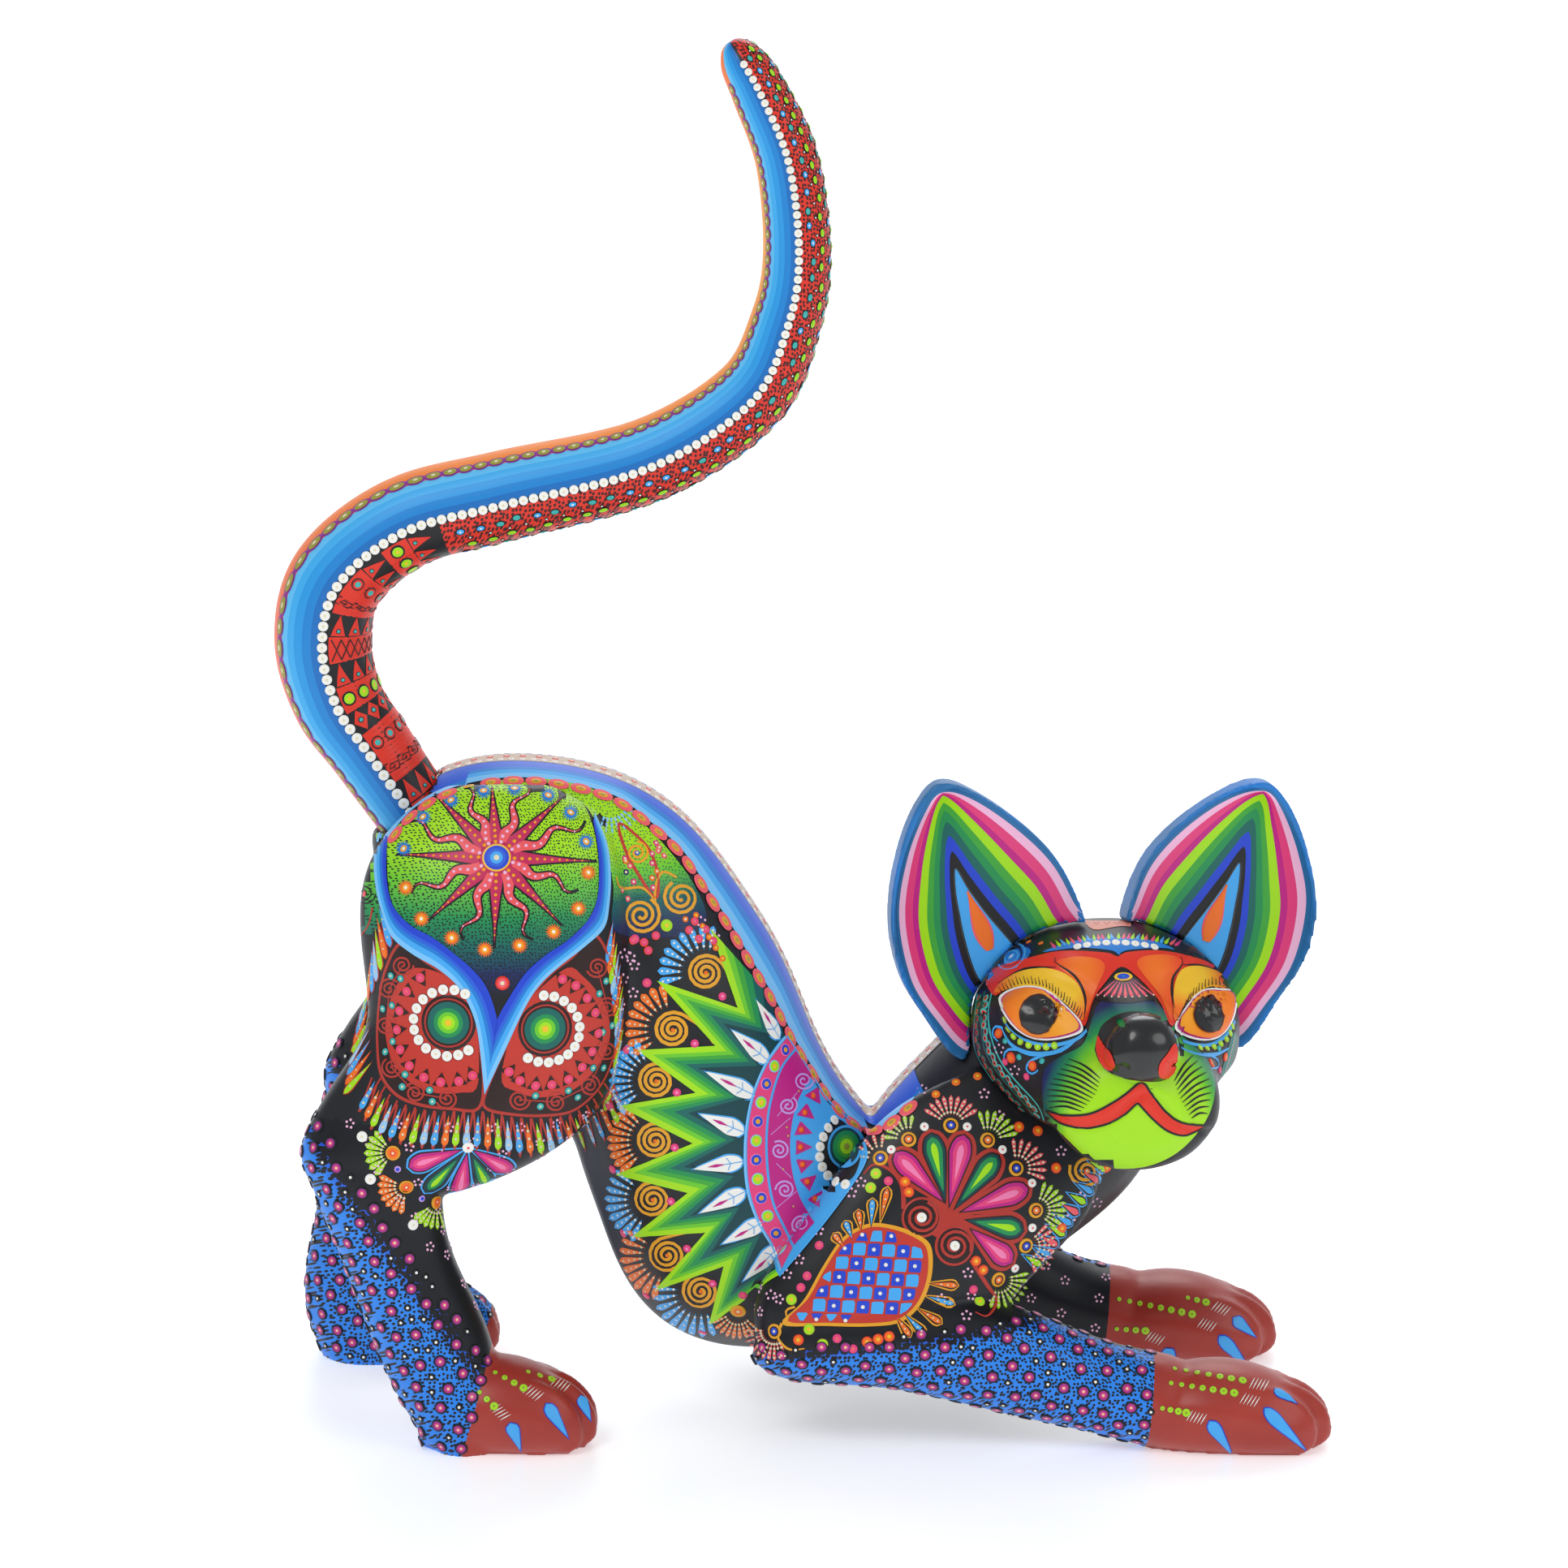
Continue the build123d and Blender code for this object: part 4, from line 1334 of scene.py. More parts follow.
def paint_forehead(panel):
    """The fan between the brows, and the feathered crown."""
    panel.field([(96.6, 145.6), (92.5, 139.8), (89.3, 135.8), (93.0, 134.6), (98.0, 134.2), (103.0, 134.8),
                 (107.0, 135.8), (102.0, 140.6)], "black", 0.19, 1.6)
    for k in range(9):
        a = (95.4 + 0.55 * k, 140.4 + 0.25 * abs(k - 4))
        b = (89.8 + 2.05 * k, 135.6 + 0.12 * (k - 4) ** 2 * 0.35)
        panel.drop(a, b, [(1.0, 1.75, "hot_pink"), (0.72, 0.9, "coral")], 0.26, 0.72)
        panel.bead(toward(a, b, 0.94), [(0.28, "cream")], 0.5)
    gem = [(97.2 + 2.7 * math.cos(t), 142.0 + 1.3 * math.sin(t))
           for t in [math.pi * k / 8 for k in range(16)]]
    panel.nested(gem, (97.2, 142.0), [(1.0, "yellow"), (0.68, "royal"), (0.3, "blue")], 0.34, 1.2)
    panel.field([(74.0, 149.4), (84.0, 150.6), (94.0, 149.8), (95.6, 148.4), (98.0, 149.9), (108.0, 150.6),
                 (112.0, 150.0), (106.0, 152.6), (95.0, 153.6), (84.0, 152.8)], "blue", 0.12, 1.6)
    for u, v in even([(84.0, 151.0), (90.0, 152.0), (96.0, 152.2), (102.0, 151.7), (106.0, 150.9)], 2.9):
        panel.bead((u, v), [(1.25, "white"), (0.35, "cream")], 0.4)
    chance = random.Random(3)
    for k in range(26):
        u = 78 + 1.35 * k + chance.uniform(-0.3, 0.3)
        a = (u, 153.1 - 0.008 * (u - 96) ** 2)
        b = (u + (u - 96) * 0.1 + chance.uniform(-0.5, 0.5), a[1] + 2.0)
        panel.drop(b, a, [(1.0, 1.1, ("hot_pink", "lime", "sky", "lime", "coral")[k % 5])], 0.2, 0.7)
    panel.field([(58.5, 141.5), (61.0, 138.8), (66.5, 144.5), (70.5, 148.8), (69.5, 150.8), (64.5, 149.5),
                 (60.5, 146.0)], "blue", 0.13, 1.5)
    for radius in (5.2, 3.9, 2.6):
        ring = [(65.2 + radius * 1.0 * math.cos(t) * 0.75, 148.0 + radius * math.sin(t + 0.35) * 0.72)
                for t in [math.pi * k / 8 for k in range(16)]]
        panel.line(ring, 0.75, "navy" if radius == 3.9 else "sky", 0.26, closed=True)
    panel.bead((65.2, 148.0), [(1.3, "sky"), (0.8, "white")], 0.4)
    for spot in ((63.0, 152.0), (66.5, 152.8), (70.0, 152.4), (73.5, 152.0)):
        panel.bead(spot, [(0.85, "orange")], 0.35)


def paint_cheeks(panel):
    """Blue scrolls with beads under the eyes, and scaled bands down both jaws."""
    for spots in ([(63.4, 129.4), (64.4, 126.6), (66.0, 124.6), (68.0, 123.0), (70.4, 122.0), (73.0, 121.5),
                   (75.4, 121.5), (77.8, 121.8)],
                  [(128.6, 127.5), (128.0, 125.5), (126.9, 123.8), (125.3, 122.4), (123.4, 121.5),
                   (121.4, 121.1), (119.5, 121.2)]):
        panel.beads(spots, [(1.15, "olive"), (1.0, "lime"), (0.35, "pale_lime")], 0.4)
    panel.field([(88.5, 156.0), (97.0, 157.0), (108.0, 156.0), (112.0, 160.5), (98.0, 163.5),
                 (86.0, 160.5)], "salmon",
                0.14, 1.8)
    for k in range(8):
        panel.line([(88.0 + 2.9 * k, 159.0), (89.4 + 2.9 * k, 157.4), (90.8 + 2.9 * k, 159.0)], 0.35,
                   "rust", 0.26)
    panel.line([(62.4, 127.5), (65.0, 122.4), (70.0, 119.6), (76.0, 119.4), (81.0, 121.2), (85.6, 125.2)],
               [0.3, 0.9, 1.3, 1.6, 1.2, 0.4], "sky", 0.25)
    panel.line([(80.0, 120.4), (74.0, 118.6), (70.6, 117.0), (69.8, 114.6), (71.6, 113.4), (73.2, 114.6)],
               [1.1, 0.9, 0.7, 0.5], "sky", 0.25)
    panel.line([(68.0, 120.6), (64.4, 120.6), (63.2, 118.4), (64.0, 116.6)], [1.0, 0.7, 0.5], "sky", 0.25)
    panel.line([(63.0, 127.0), (60.6, 127.4), (60.0, 125.0), (61.6, 123.0)], [0.8, 0.7, 0.5], "sky", 0.25)
    panel.line([(110.8, 124.2), (114.0, 121.2), (119.0, 119.2), (124.0, 119.2), (127.6, 121.0)],
               [0.4, 1.2, 1.3, 0.6], "sky", 0.25)
    panel.line([(121.0, 119.4), (124.4, 117.8), (124.8, 115.4), (122.6, 115.0)], [0.9, 0.7, 0.4], "sky",
               0.25)
    for spot, size in (((65.3, 118.2), 1.7), ((71.5, 115.8), 1.5), ((61.7, 125.4), 1.5),
                       ((122.8, 116.6), 1.4),
                       ((126.8, 118.4), 1.3)):
        panel.bead(spot, [(size, "scarlet"), (size * 0.6, "orange")], 0.4)
    panel.beads([(67.6, 118.4), (74.2, 117.2), (63.6, 123.2), (124.9, 121.0)], [(0.9, "turquoise")], 0.4)
    panel.beads([(69.8, 112.6), (63.6, 117.0), (125.2, 114.6)], [(1.1, "hot_pink"), (0.5, "coral")], 0.4)
    for spot in ((66.4, 114.4), (61.8, 120.8), (57.5, 141.0), (58.6, 144.0)):
        panel.five(spot, size=0.36)
    inner = matched([(59.6, 137.5), (58.6, 131.0), (59.6, 124.0), (62.4, 117.0), (67.0, 111.0),
                     (73.4, 103.6),
                     (75.6, 96.5)])
    outer = matched([(55.6, 138.0), (54.8, 130.0), (54.8, 121.0), (58.6, 113.6), (63.6, 107.0),
                     (69.2, 100.4),
                     (73.6, 94.0)])
    panel.band(inner, outer, "brown", 0.12, 3)
    for f in (0.0, 0.5, 1.0):
        panel.line([toward(a, b, f) for a, b in zip(inner, outer)], 1.3 if f == 0.5 else 0.8,
                   "teal" if f == 0.5 else "turquoise", 0.2, False)
    for i in range(1, len(inner) - 1):
        for f, colour in ((0.24, "turquoise"), (0.76, "teal")):
            spot = toward(inner[i], outer[i], f + 0.08 * (i % 2))
            panel.bead(spot, [(1.3, colour), (0.85, "scarlet" if i % 2 else "rust"), (0.4, "brown")], 0.32)
    other = matched([(128.6, 125.5), (127.0, 119.0), (125.4, 113.0)], 12)
    edge = matched([(130.6, 126.0), (129.2, 119.0), (127.4, 113.0)], 12)
    panel.band(other, edge, "teal", 0.12, 2)
    for i in range(1, 12):
        panel.bead(toward(other[i], edge[i], 0.5), [(0.9, "turquoise"), (0.5, "rust")], 0.25)

# ---- spine ----------------------------------------------------------------------------------------------
SPINE = [
    (-111, 185.8), (-103.5, 190.5), (-96.6, 193.8), (-87.1, 195.8), (-75.2, 196.5), (-63.3, 194.8),
    (-51.4, 191.4),
    (-40.2, 186.5), (-29.1, 177.8), (-17.7, 164.8), (-6.5, 146.7), (4.8, 124.0), (14.4, 102.4),
    (22.6, 90.8), (27.0, 90.4), (34.0, 96.7), (47.8, 112.1), (56.0, 121.5),
]
OVAL_LINE = [
    (-113.5, 178.5), (-106.4, 187.3), (-96.0, 193.4), (-84.0, 196.4), (-72.0, 196.8), (-60.0, 195.0),
    (-48.0, 191.2),
    (-40.5, 185.4), (-30.2, 176.1), (-23.1, 165.0), (-16.3, 154.2), (-9.7, 142.7), (-3.7, 132.3),
    (1.9, 120.7), (7.9, 110.7), (14.7, 100.2), (21.5, 93.6), (27.5, 92.6), (33.0, 97.0), (38.5, 102.0),
]
OVAL_DEPTH = 38.0
SPINE_SHARES = [
    (0.0, "light_sky"), (0.24, "sky"), (0.42, "blue"), (0.6, "mid_blue"), (1.0, None),
]


class Spine:
    """The back's middle line: spot(i, y) is the wood under a line y millimetres beside it."""

    def __init__(self, tree, spacing=1.6):
        self.tree = tree
        self.line = even(smooth_line(SPINE, 8), spacing)

    def spot(self, i, y):
        a, b = self.line[max(i - 1, 0)], self.line[min(i + 1, len(self.line) - 1)]
        run = Vector((b[0] - a[0], 0, b[1] - a[1])).normalized()
        out = Vector((-run.z, 0, run.x))
        x, z = self.line[i]
        start = at(x, y, z) + out * 25 * MM
        return self.tree.ray_cast(start, -out, 60 * MM)[0]


def paint_spine(paint, panels):
    """A pale centre strip between pearl chains, then blue bands down to a chain of coral ovals."""
    spine = Spine(paint.tree)
    count = len(spine.line)
    strip = [[spine.spot(i, y) for y in (-4.6, -2.3, 0, 2.3, 4.6)] for i in range(count)]
    faces = [(5 * i + k, 5 * i + k + 1, 5 * i + k + 6,
              5 * i + k + 5) for i in range(count - 1) for k in range(4)]
    paint.cover([spot for row in strip for spot in row], faces, "beige", 0.2)
    for y in (-3.4, 3.4):
        dots = [spine.spot(i, y) for i in range(1, count - 1)]
        for i, spot in enumerate(dots):
            if spot is not None and i % 2 == 0:
                paint.bead(spot, [(0.95, "white"), (0.28, "coral")], 0.45)
    for i in range(2, count - 2, 3):
        spot = spine.spot(i, 0)
        if spot is not None:
            paint.bead(spot, [(1.0, "coral"), (0.5, "cream")], 0.4)
    for panel in panels:
        low = matched(OVAL_LINE, 120)
        outer = even([(p, q) for p, q in spine.line], 1.0)
        step = (len(outer) - 1) / 120
        edge_low, edge_top = [], []
        for k, (u, v) in enumerate(low):
            ahead, behind = low[min(k + 1, 120)], low[max(k - 1, 0)]
            run = Vector((ahead[0] - behind[0], ahead[1] - behind[1])).normalized()
            spot = panel.place(u - run.y * 1.0, v + run.x * 1.0)
            near = min(range(count), key=lambda i: math.dist(spine.line[i], (u, v)))
            top = spine.spot(near, panel.side * 4.8)
            edge_low.append(spot)
            edge_top.append(top)
        for (start, colour), (stop, after) in zip(SPINE_SHARES, SPINE_SHARES[1:]):
            spots = []
            for a, b in zip(edge_low, edge_top):
                for f in (start, (start + stop) / 2, stop):
                    mixed = None if a is None or b is None else paint.tree.find_nearest(a.lerp(b, f))[0]
                    spots.append(mixed)
            faces = [(3 * i + k, 3 * i + k + 1, 3 * i + k + 4, 3 * i + k + 3)
                     for i in range(len(low) - 1) for k in range(2)]
            paint.cover(spots, faces, colour, 0.2)
        ovals = even(smooth_line(OVAL_LINE, 8), 6.5)
        for k in range(len(ovals) - 1):
            u, v = toward(ovals[k], ovals[k + 1], 0.5)
            lean = math.atan2(ovals[k + 1][1] - ovals[k][1], ovals[k + 1][0] - ovals[k][0])
            for share, colour, height in ((1.0, "coral", 0.46), (0.5, "gold", 0.58), (0.22, "olive", 0.68)):
                reach = 3.0 * share
                ends = [(u + reach * f * math.cos(lean), v + reach * f * math.sin(lean)) for f in (-1, 1)]
                path = [toward(*ends, f) for f in (0, 0.12, 0.3, 0.5, 0.7, 0.88, 1)]
                widths = [2 * 2.0 * share * w for w in (0.3, 0.72, 0.93, 1, 0.93, 0.72, 0.3)]
                kept = [(panel.place(*p), w) for p, w in zip(path, widths)]
                if all(p is not None for p, w in kept):
                    paint.stroke([p for p, w in kept], [w for p, w in kept], colour, height, 4)


# ---- haunch ---------------------------------------------------------------------------------------------
SUN = (-81.9, 177.5)
SUN_FIELD = [
    (-112.2, 184.0), (-113.0, 176.0), (-112.6, 168.5), (-111.1, 162.8), (-106.5, 157.7), (-100.2, 154.1),
    (-94.6, 149.7), (-88.9, 144.6), (-84.7, 138.5), (-82.2, 129.5), (-79.8, 135.0), (-74.0, 143.9),
    (-68.3, 149.0), (-61.9, 153.4), (-56.2, 159.2), (-53.6, 165.0), (-52.9, 172.3), (-53.4, 180.5),
    (-54.9, 188.0), (-58.5, 194.7), (-65.8, 198.0), (-74.2, 199.6), (-81.3, 200.0), (-88.3, 199.0),
    (-96.1, 196.2), (-104.0, 191.5),
]
FRAME_LEFT = (
    [(-112.6, 184.6), (-113.2, 176.0), (-112.8, 168.5), (-111.1, 162.8), (-106.5, 157.7), (-100.2, 154.1),
     (-94.6, 149.7), (-88.9, 144.6), (-84.9, 139.0), (-82.4, 131.0), (-82.4, 127.0)],
    [(-115.0, 186.0), (-116.6, 178.0), (-116.4, 170.0), (-115.0, 162.8), (-112.2, 154.8), (-106.2, 149.4),
     (-98.9, 145.0), (-93.3, 139.8), (-89.8, 133.3), (-87.7, 125.3), (-86.1, 107.8)],
)
FRAME_RIGHT = (
    [(-54.5, 188.0), (-53.2, 180.0), (-52.9, 172.3), (-53.6, 165.0), (-56.2, 159.2), (-61.9, 153.4),
     (-68.3, 149.0), (-74.0, 143.7), (-79.4, 135.4), (-82.2, 130.0), (-82.4, 127.0)],
    [(-54.0, 190.5), (-50.6, 181.5), (-49.6, 172.3), (-50.1, 163.6), (-51.6, 157.0), (-57.1, 151.5),
     (-64.1, 145.9), (-69.8, 140.5), (-74.1, 133.8), (-79.6, 122.0), (-86.1, 107.8)],
)
FRAME_SHARES = [(0.0, "royal"), (0.26, "mid_blue"), (0.40, "blue"), (0.55, "sky"), (0.78, "light_sky"),
                (1.0, None)]
DISCS = [((-96.2, 129.1), 60, 305), ((-68.6, 127.3), 92, 240 - 360)]
LOBE_LEFT = [
    (-109.5, 152.5), (-103.0, 147.5), (-96.0, 142.6), (-90.8, 135.5), (-88.0, 126.5), (-86.3, 112.0),
    (-88.0, 103.6),
    (-95.5, 103.6), (-104.0, 104.6), (-111.0, 107.4), (-115.6, 113.5), (-116.6, 123.0), (-116.0, 134.0),
    (-114.2, 144.0),
]
LOBE_RIGHT = [
    (-54.0, 155.0), (-60.5, 148.6), (-67.0, 143.4), (-73.2, 135.6), (-78.6, 124.6), (-85.2, 110.0),
    (-86.0, 104.0),
    (-78.5, 102.0), (-69.0, 101.6), (-60.5, 103.2), (-53.5, 109.5), (-49.3, 118.5), (-47.6, 130.0),
    (-48.4, 143.0),
]
BEADS_BLUE = [
    (-108.2, 180.1), (-102.6, 189.3), (-94.6, 194.2), (-85.4, 196.9), (-76.6, 197.6), (-67.1, 195.6),
    (-60.8, 190.6),
    (-56.5, 182.2),
]
BEADS_ORANGE = [
    (-107.8, 168.8), (-103.5, 159.7), (-94.9, 154.1), (-85.5, 150.7), (-75.6, 151.9), (-65.9, 155.9),
    (-58.8, 162.7),
    (-55.9, 173.2),
]


def sun_ray(panel, turn, length, wavy):
    """A ray of the sun: a straight spike, or a flame that swings from side to side."""
    path = [polar(*SUN, 3.0 + (length - 3.0) * k / 12, turn + (0 if not wavy else 6.5 * math.sin(k * 1.05) *
                                                             (1 - 0.35 * k / 12))) for k in range(13)]
    wide = 4.6 if wavy else 5.4
    spread_to = [wide, wide * 0.75, wide * 0.5, wide * 0.3, 0.55, 0.15]
    panel.line(path, [w + 0.7 for w in spread_to], "black", 0.3)
    panel.line(path[:12], [w * 0.94 for w in spread_to], "coral_ray" if wavy else "crimson", 0.42)
    for k in range(1, 11):
        panel.bead(path[k], [(0.62 - 0.035 * k, "pale_pink" if wavy else "amber")], 0.58)


def paint_haunch(panel):
    graded_paint("sun_ground", [(0.0, "black"), (0.14, "black"), (0.24, "navy"), (0.36, "teal"),
                                (0.48, "leaf"),
                                (0.62, "mid_green"), (0.74, "lime"), (1.0, "lime")], at(0, 0, 128),
                                (0, 0, 1), 0.066,
                 ("black", 0.00105, 0.25, 0.25))
    panel.field(SUN_FIELD, "sun_ground", 0.18, 2.0)
    panel.field([(-109.0, 189.0), (-114.0, 184.0), (-116.0, 176.0), (-116.0, 168.0), (-114.6, 160.0),
                 (-119.0, 155.0),
                 (-124.0, 165.0), (-122.0, 178.0), (-116.0, 187.0)], "sun_ground", 0.14, 1.8)
    panel.spiral((-119.6, 167.0), 3.2, 2.2, 0.5, "black", 0, 1, 0.3)
    panel.bead((-119.6, 167.0), [(0.9, "coral")], 0.4)
    panel.line([(-117.4, 163.0), (-118.6, 158.0), (-121.4, 154.0)], [0.8, 0.4], "rust", 0.3)
    for inner, outer in (FRAME_LEFT, FRAME_RIGHT):
        panel.bands(matched(inner, 70), matched(outer, 70), FRAME_SHARES, 0.36, 1)
    for k in range(8):
        sun_ray(panel, 90 - 45 * k + (-2 if k else 3), (22.5, 27, 28.5, 27, 26.5, 27, 28.5, 26.5)[k], False)
    for k in range(8):
        sun_ray(panel, 68 - 45 * k, (24, 27.5, 25, 26, 26, 26.5, 27, 22.5)[k], True)
    panel.bead(SUN, [(5.2, "crimson"), (4.1, "yellow"), (3.6, "royal"), (2.7, "mid_blue"), (1.8, "sky"),
                     (0.8, "cream")],
               0.55)
    for spots, rim, core in ((BEADS_BLUE, "blue", "gold"), (BEADS_ORANGE, "orange", "amber")):
        for spot in spots:
            for k in range(18):
                a, b = polar(*spot, 1.2, 20 * k), polar(*spot, 2.35, 20 * k)
                panel.line([a, b], [0.5, 0.15], rim, 0.34, False, step=0.6)
            panel.bead(spot, [(1.75, rim), (1.1, core), (0.5, "white")], 0.4)
    panel.bead((-80.6, 140.8), [(2.1, "red"), (1.4, "coral"), (0.6, "cream")], 0.4)
    paint_lobe(panel, LOBE_LEFT, DISCS[0], [(-89.4, 113.5), (-93.4, 111.8), (-98.6, 111.5), (-103.4, 112.9),
               (-107.5, 116.3), (-110.0, 121.1), (-110.8, 127.0), (-110.0, 132.6), (-107.9, 138.4),
               (-104.0, 142.4)],
               [(-109.0, 146.1), (-112.9, 139.1), (-114.0, 128.5), (-112.4, 115.6), (-106.1, 108.3),
                (-96.9, 106.6)])
    paint_lobe(panel, LOBE_RIGHT, DISCS[1], [(-63.5, 142.0), (-59.7, 140.1), (-56.5, 136.4), (-54.2, 132.1),
               (-53.4, 126.0), (-55.2, 120.6), (-58.1, 116.0), (-62.0, 112.4), (-66.8, 110.8),
               (-71.5, 110.5),
               (-75.9, 112.0), (-79.0, 114.6)],
               [(-76.2, 106.3), (-65.6, 105.6), (-56.0, 110.5), (-51.0, 121.0), (-50.6, 133.5),
                (-53.5, 145.5)])
    paint_fringe(panel)


def paint_lobe(panel, outline, disc, teeth, curls):
    """One lobe under the sun: a green disc in pearls, red with dark teeth, and rust curls round it."""
    centre, start, stop = disc
    panel.field(outline, "brown", 0.16, 2.0)
    panel.line(outline, 0.9, "rust", 0.3, closed=True)
    reach = [math.dist(centre, tooth) for tooth in teeth]
    turns = [math.degrees(math.atan2(t[1] - centre[1], t[0] - centre[0])) for t in teeth]
    red = [polar(*centre, r + 3.4, t) for r, t in zip(reach, turns)]
    red += [p for p in outline if math.dist(p, centre) < 30 and not beyond(p, centre, turns)]
    panel.field([p for p in order_round(red, centre)], "rust_red", 0.26, 2.0)
    for tooth, turn in zip(teeth, turns):
        base = [polar(*tooth, 2.7, turn - 62), polar(*tooth, 2.7, turn + 62)]
        tip = polar(*tooth, -3.0, turn)
        panel.field([base[0], base[1], tip], "brown", 0.36, 1.6, False)
        panel.bead(tooth, [(1.45, "scarlet"), (1.2, "hot_pink"), (0.55, "coral")], 0.5)
    panel.bead(centre, [(8.3, "brown"), (7.2, "rust"), (6.7, "brown"), (6.1, "teal"), (4.3, "leaf"),
                        (3.1, "mid_green"),
                        (2.0, "lime"), (0.95, "yellow")], 0.42)
    count = round(abs(stop - start) / 360 * 2 * math.pi * 9.8 / 3.15)
    for k in range(count + 1):
        spot = polar(*centre, 9.9, start + (stop - start) * k / count)
        panel.bead(spot, [(1.62, "brown"), (1.5, "white"), (0.4, "cream")], 0.5)
    for k, (u, v) in enumerate(curls):
        panel.spiral((u, v), 3.2, 2.2, 0.62, "rust", 40 * k, -1 if k % 2 else 1, 0.36)
    for a, b in zip(curls, curls[1:]):
        middle = toward(a, b, 0.5)
        panel.line([a, middle, b], 0.4, "rust", 0.28)
        for f in (0.42, 0.58):
            out = 1.2 if f < 0.5 else -1.2
            spot = toward(toward(a, b, f), centre, 0.06 * out)
            panel.bead(spot, [(1.2, "deep_teal"), (1.0, "turquoise"), (0.35, "cream")], 0.42)


def beyond(point, centre, turns):
    """True where a point lies in the part of a turn that the teeth cover."""
    turn = math.degrees(math.atan2(point[1] - centre[1], point[0] - centre[0]))
    return any(abs((turn - t + 180) % 360 - 180) < 17 for t in turns)


def order_round(points, centre):
    return sorted(points, key=lambda p: math.atan2(p[1] - centre[1], p[0] - centre[0]))


def paint_fringe(panel):
    """Drops in four colours that hang round the haunch."""
    colours = ("sky", "orange", "lime", "pale_blue")
    low = matched([(-117.0, 112.5), (-113.5, 106.5), (-107.0, 103.6), (-99.0, 102.6), (-88.0, 102.6),
                   (-78.0, 100.8),
                   (-68.0, 100.6), (-60.0, 102.0), (-54.5, 105.5), (-50.5, 111.0)], 27)
    for k, (u, v) in enumerate(low):
        lean = (k - 13.5) * 2.3
        out = polar(u, v, 11.6, -90 + lean * 0.9)
        panel.line([(u - 1.3, v + 0.3), toward((u - 1.3, v), out, 0.7), out, toward((u + 1.3, v), out, 0.7),
                    (u + 1.3, v + 0.3)], 0.6, "rust", 0.24)
        panel.drop(toward((u, v), out, 0.08), toward((u, v), out, 0.9), [(1.0, 2.1, colours[k % 4])], 0.3,
                   0.78)
        for f in (0.3, 0.5, 0.7):
            panel.bead(toward((u, v), out, f), [(0.42, "cream")], 0.52)
    for edge, lean in (([(-115.5, 163.0), (-117.5, 152.0), (-118.8, 141.0), (-119.0, 128.0),
                         (-118.6, 117.0)], 168),
                       ([(-49.0, 158.5), (-47.4, 149.0), (-46.2, 138.0), (-46.4, 126.0), (-48.4, 114.5)],
                        -68)):
        for k, (u, v) in enumerate(matched(edge, 14)):
            turn = 285 - 4 * k if lean == 168 else 262 - 0.5 * k
            out = polar(u, v, 12.0, turn)
            panel.drop((u, v), out, [(1.08, 3.0, "rust"), (1.0, 2.1, colours[k % 4])], 0.2, 0.75)
            for f in (0.3, 0.55, 0.75):
                panel.bead(toward((u, v), out, f), [(0.28, "cream")], 0.45)


# ---- flank ----------------------------------------------------------------------------------------------
ZIGZAG = [
    ((-21.4, 153.5), (-4.8, 134.2)), ((-13.5, 129.9), (-4.0, 121.5)), ((-36.7, 138.0), (-15.6, 124.0)),
    ((-20.0, 118.6), (-6.4, 112.0)), ((-42.6, 117.4), (-23.0, 111.5)), ((-25.6, 104.6), (-10.2, 102.8)),
    ((-48.1, 100.7), (-25.6, 98.3)), ((-26.5, 89.4), (-12.9, 90.7)), ((-48.9, 80.0), (-27.0, 82.6)),
    ((-28.0, 74.5), (-13.2, 80.0)), ((-44.4, 61.1), (-25.4, 68.2)), ((-22.9, 62.5), (-11.9, 71.0)),
    ((-37.8, 44.8), (-19.6, 57.7)), ((-17.6, 52.3), (-6.0, 62.6)), ((-21.9, 34.5), (-13.4, 46.4)),
    ((-1.1, 49.6), (-1.1, 55.0)),
]
ZIGZAG_SHARES = [(0.0, "lime"), (0.24, "mid_green"), (0.40, "green"), (0.55, "leaf"), (0.72, "teal"),
                 (0.9, "deep_teal"), (1.0, None)]
PETALS = [
    ((-8.2, 132.3), (-1.4, 120.6)), ((-15.4, 123.4), (-4.4, 113.8)), ((-23.0, 111.0), (-8.5, 103.7)),
    ((-24.6, 98.3), (-11.5, 92.6)), ((-26.5, 81.6), (-11.8, 84.0)), ((-24.7, 68.3), (-11.2, 75.0)),
    ((-18.1, 59.0), (-5.6, 66.0)), ((-11.9, 47.8), (-0.9, 58.6)),
]
ARCS = [
    [(0.2, 121.3), (-5.2, 113.6), (-9.1, 104.4), (-11.1, 93.8), (-11.4, 83.2), (-10.3, 73.7), (-7.3, 65.1),
     (-3.0, 57.4), (-0.8, 50.6)],
    [(3.4, 118.0), (-1.1, 111.8), (-4.2, 101.2), (-5.2, 90.7), (-4.7, 80.0), (-3.2, 71.5), (-0.4, 65.0),
     (3.0, 58.2)],
    [(8.4, 109.6), (4.0, 100.8), (2.2, 90.7), (2.8, 81.1), (5.4, 72.6), (9.6, 66.0)],
]
EYE_PANEL = [
    (0.6, 122.0), (-5.4, 114.0), (-9.4, 104.4), (-11.5, 93.8), (-11.8, 83.2), (-10.7, 73.7), (-7.5, 65.1),
    (-3.2, 57.4), (-1.2, 49.4), (6.0, 58.4), (12.6, 67.2), (19.0, 76.0), (22.6, 82.2), (23.4, 88.0),
    (19.6, 94.6), (12.6, 101.4), (7.4, 109.8), (3.6, 116.6),
]
SHELLS = [(-22.6, 140.4), (-32.2, 123.4), (-37.0, 108.1), (-37.4, 90.1), (-38.2, 72.4), (-34.0, 55.6),
          (-24.3, 44.6)]


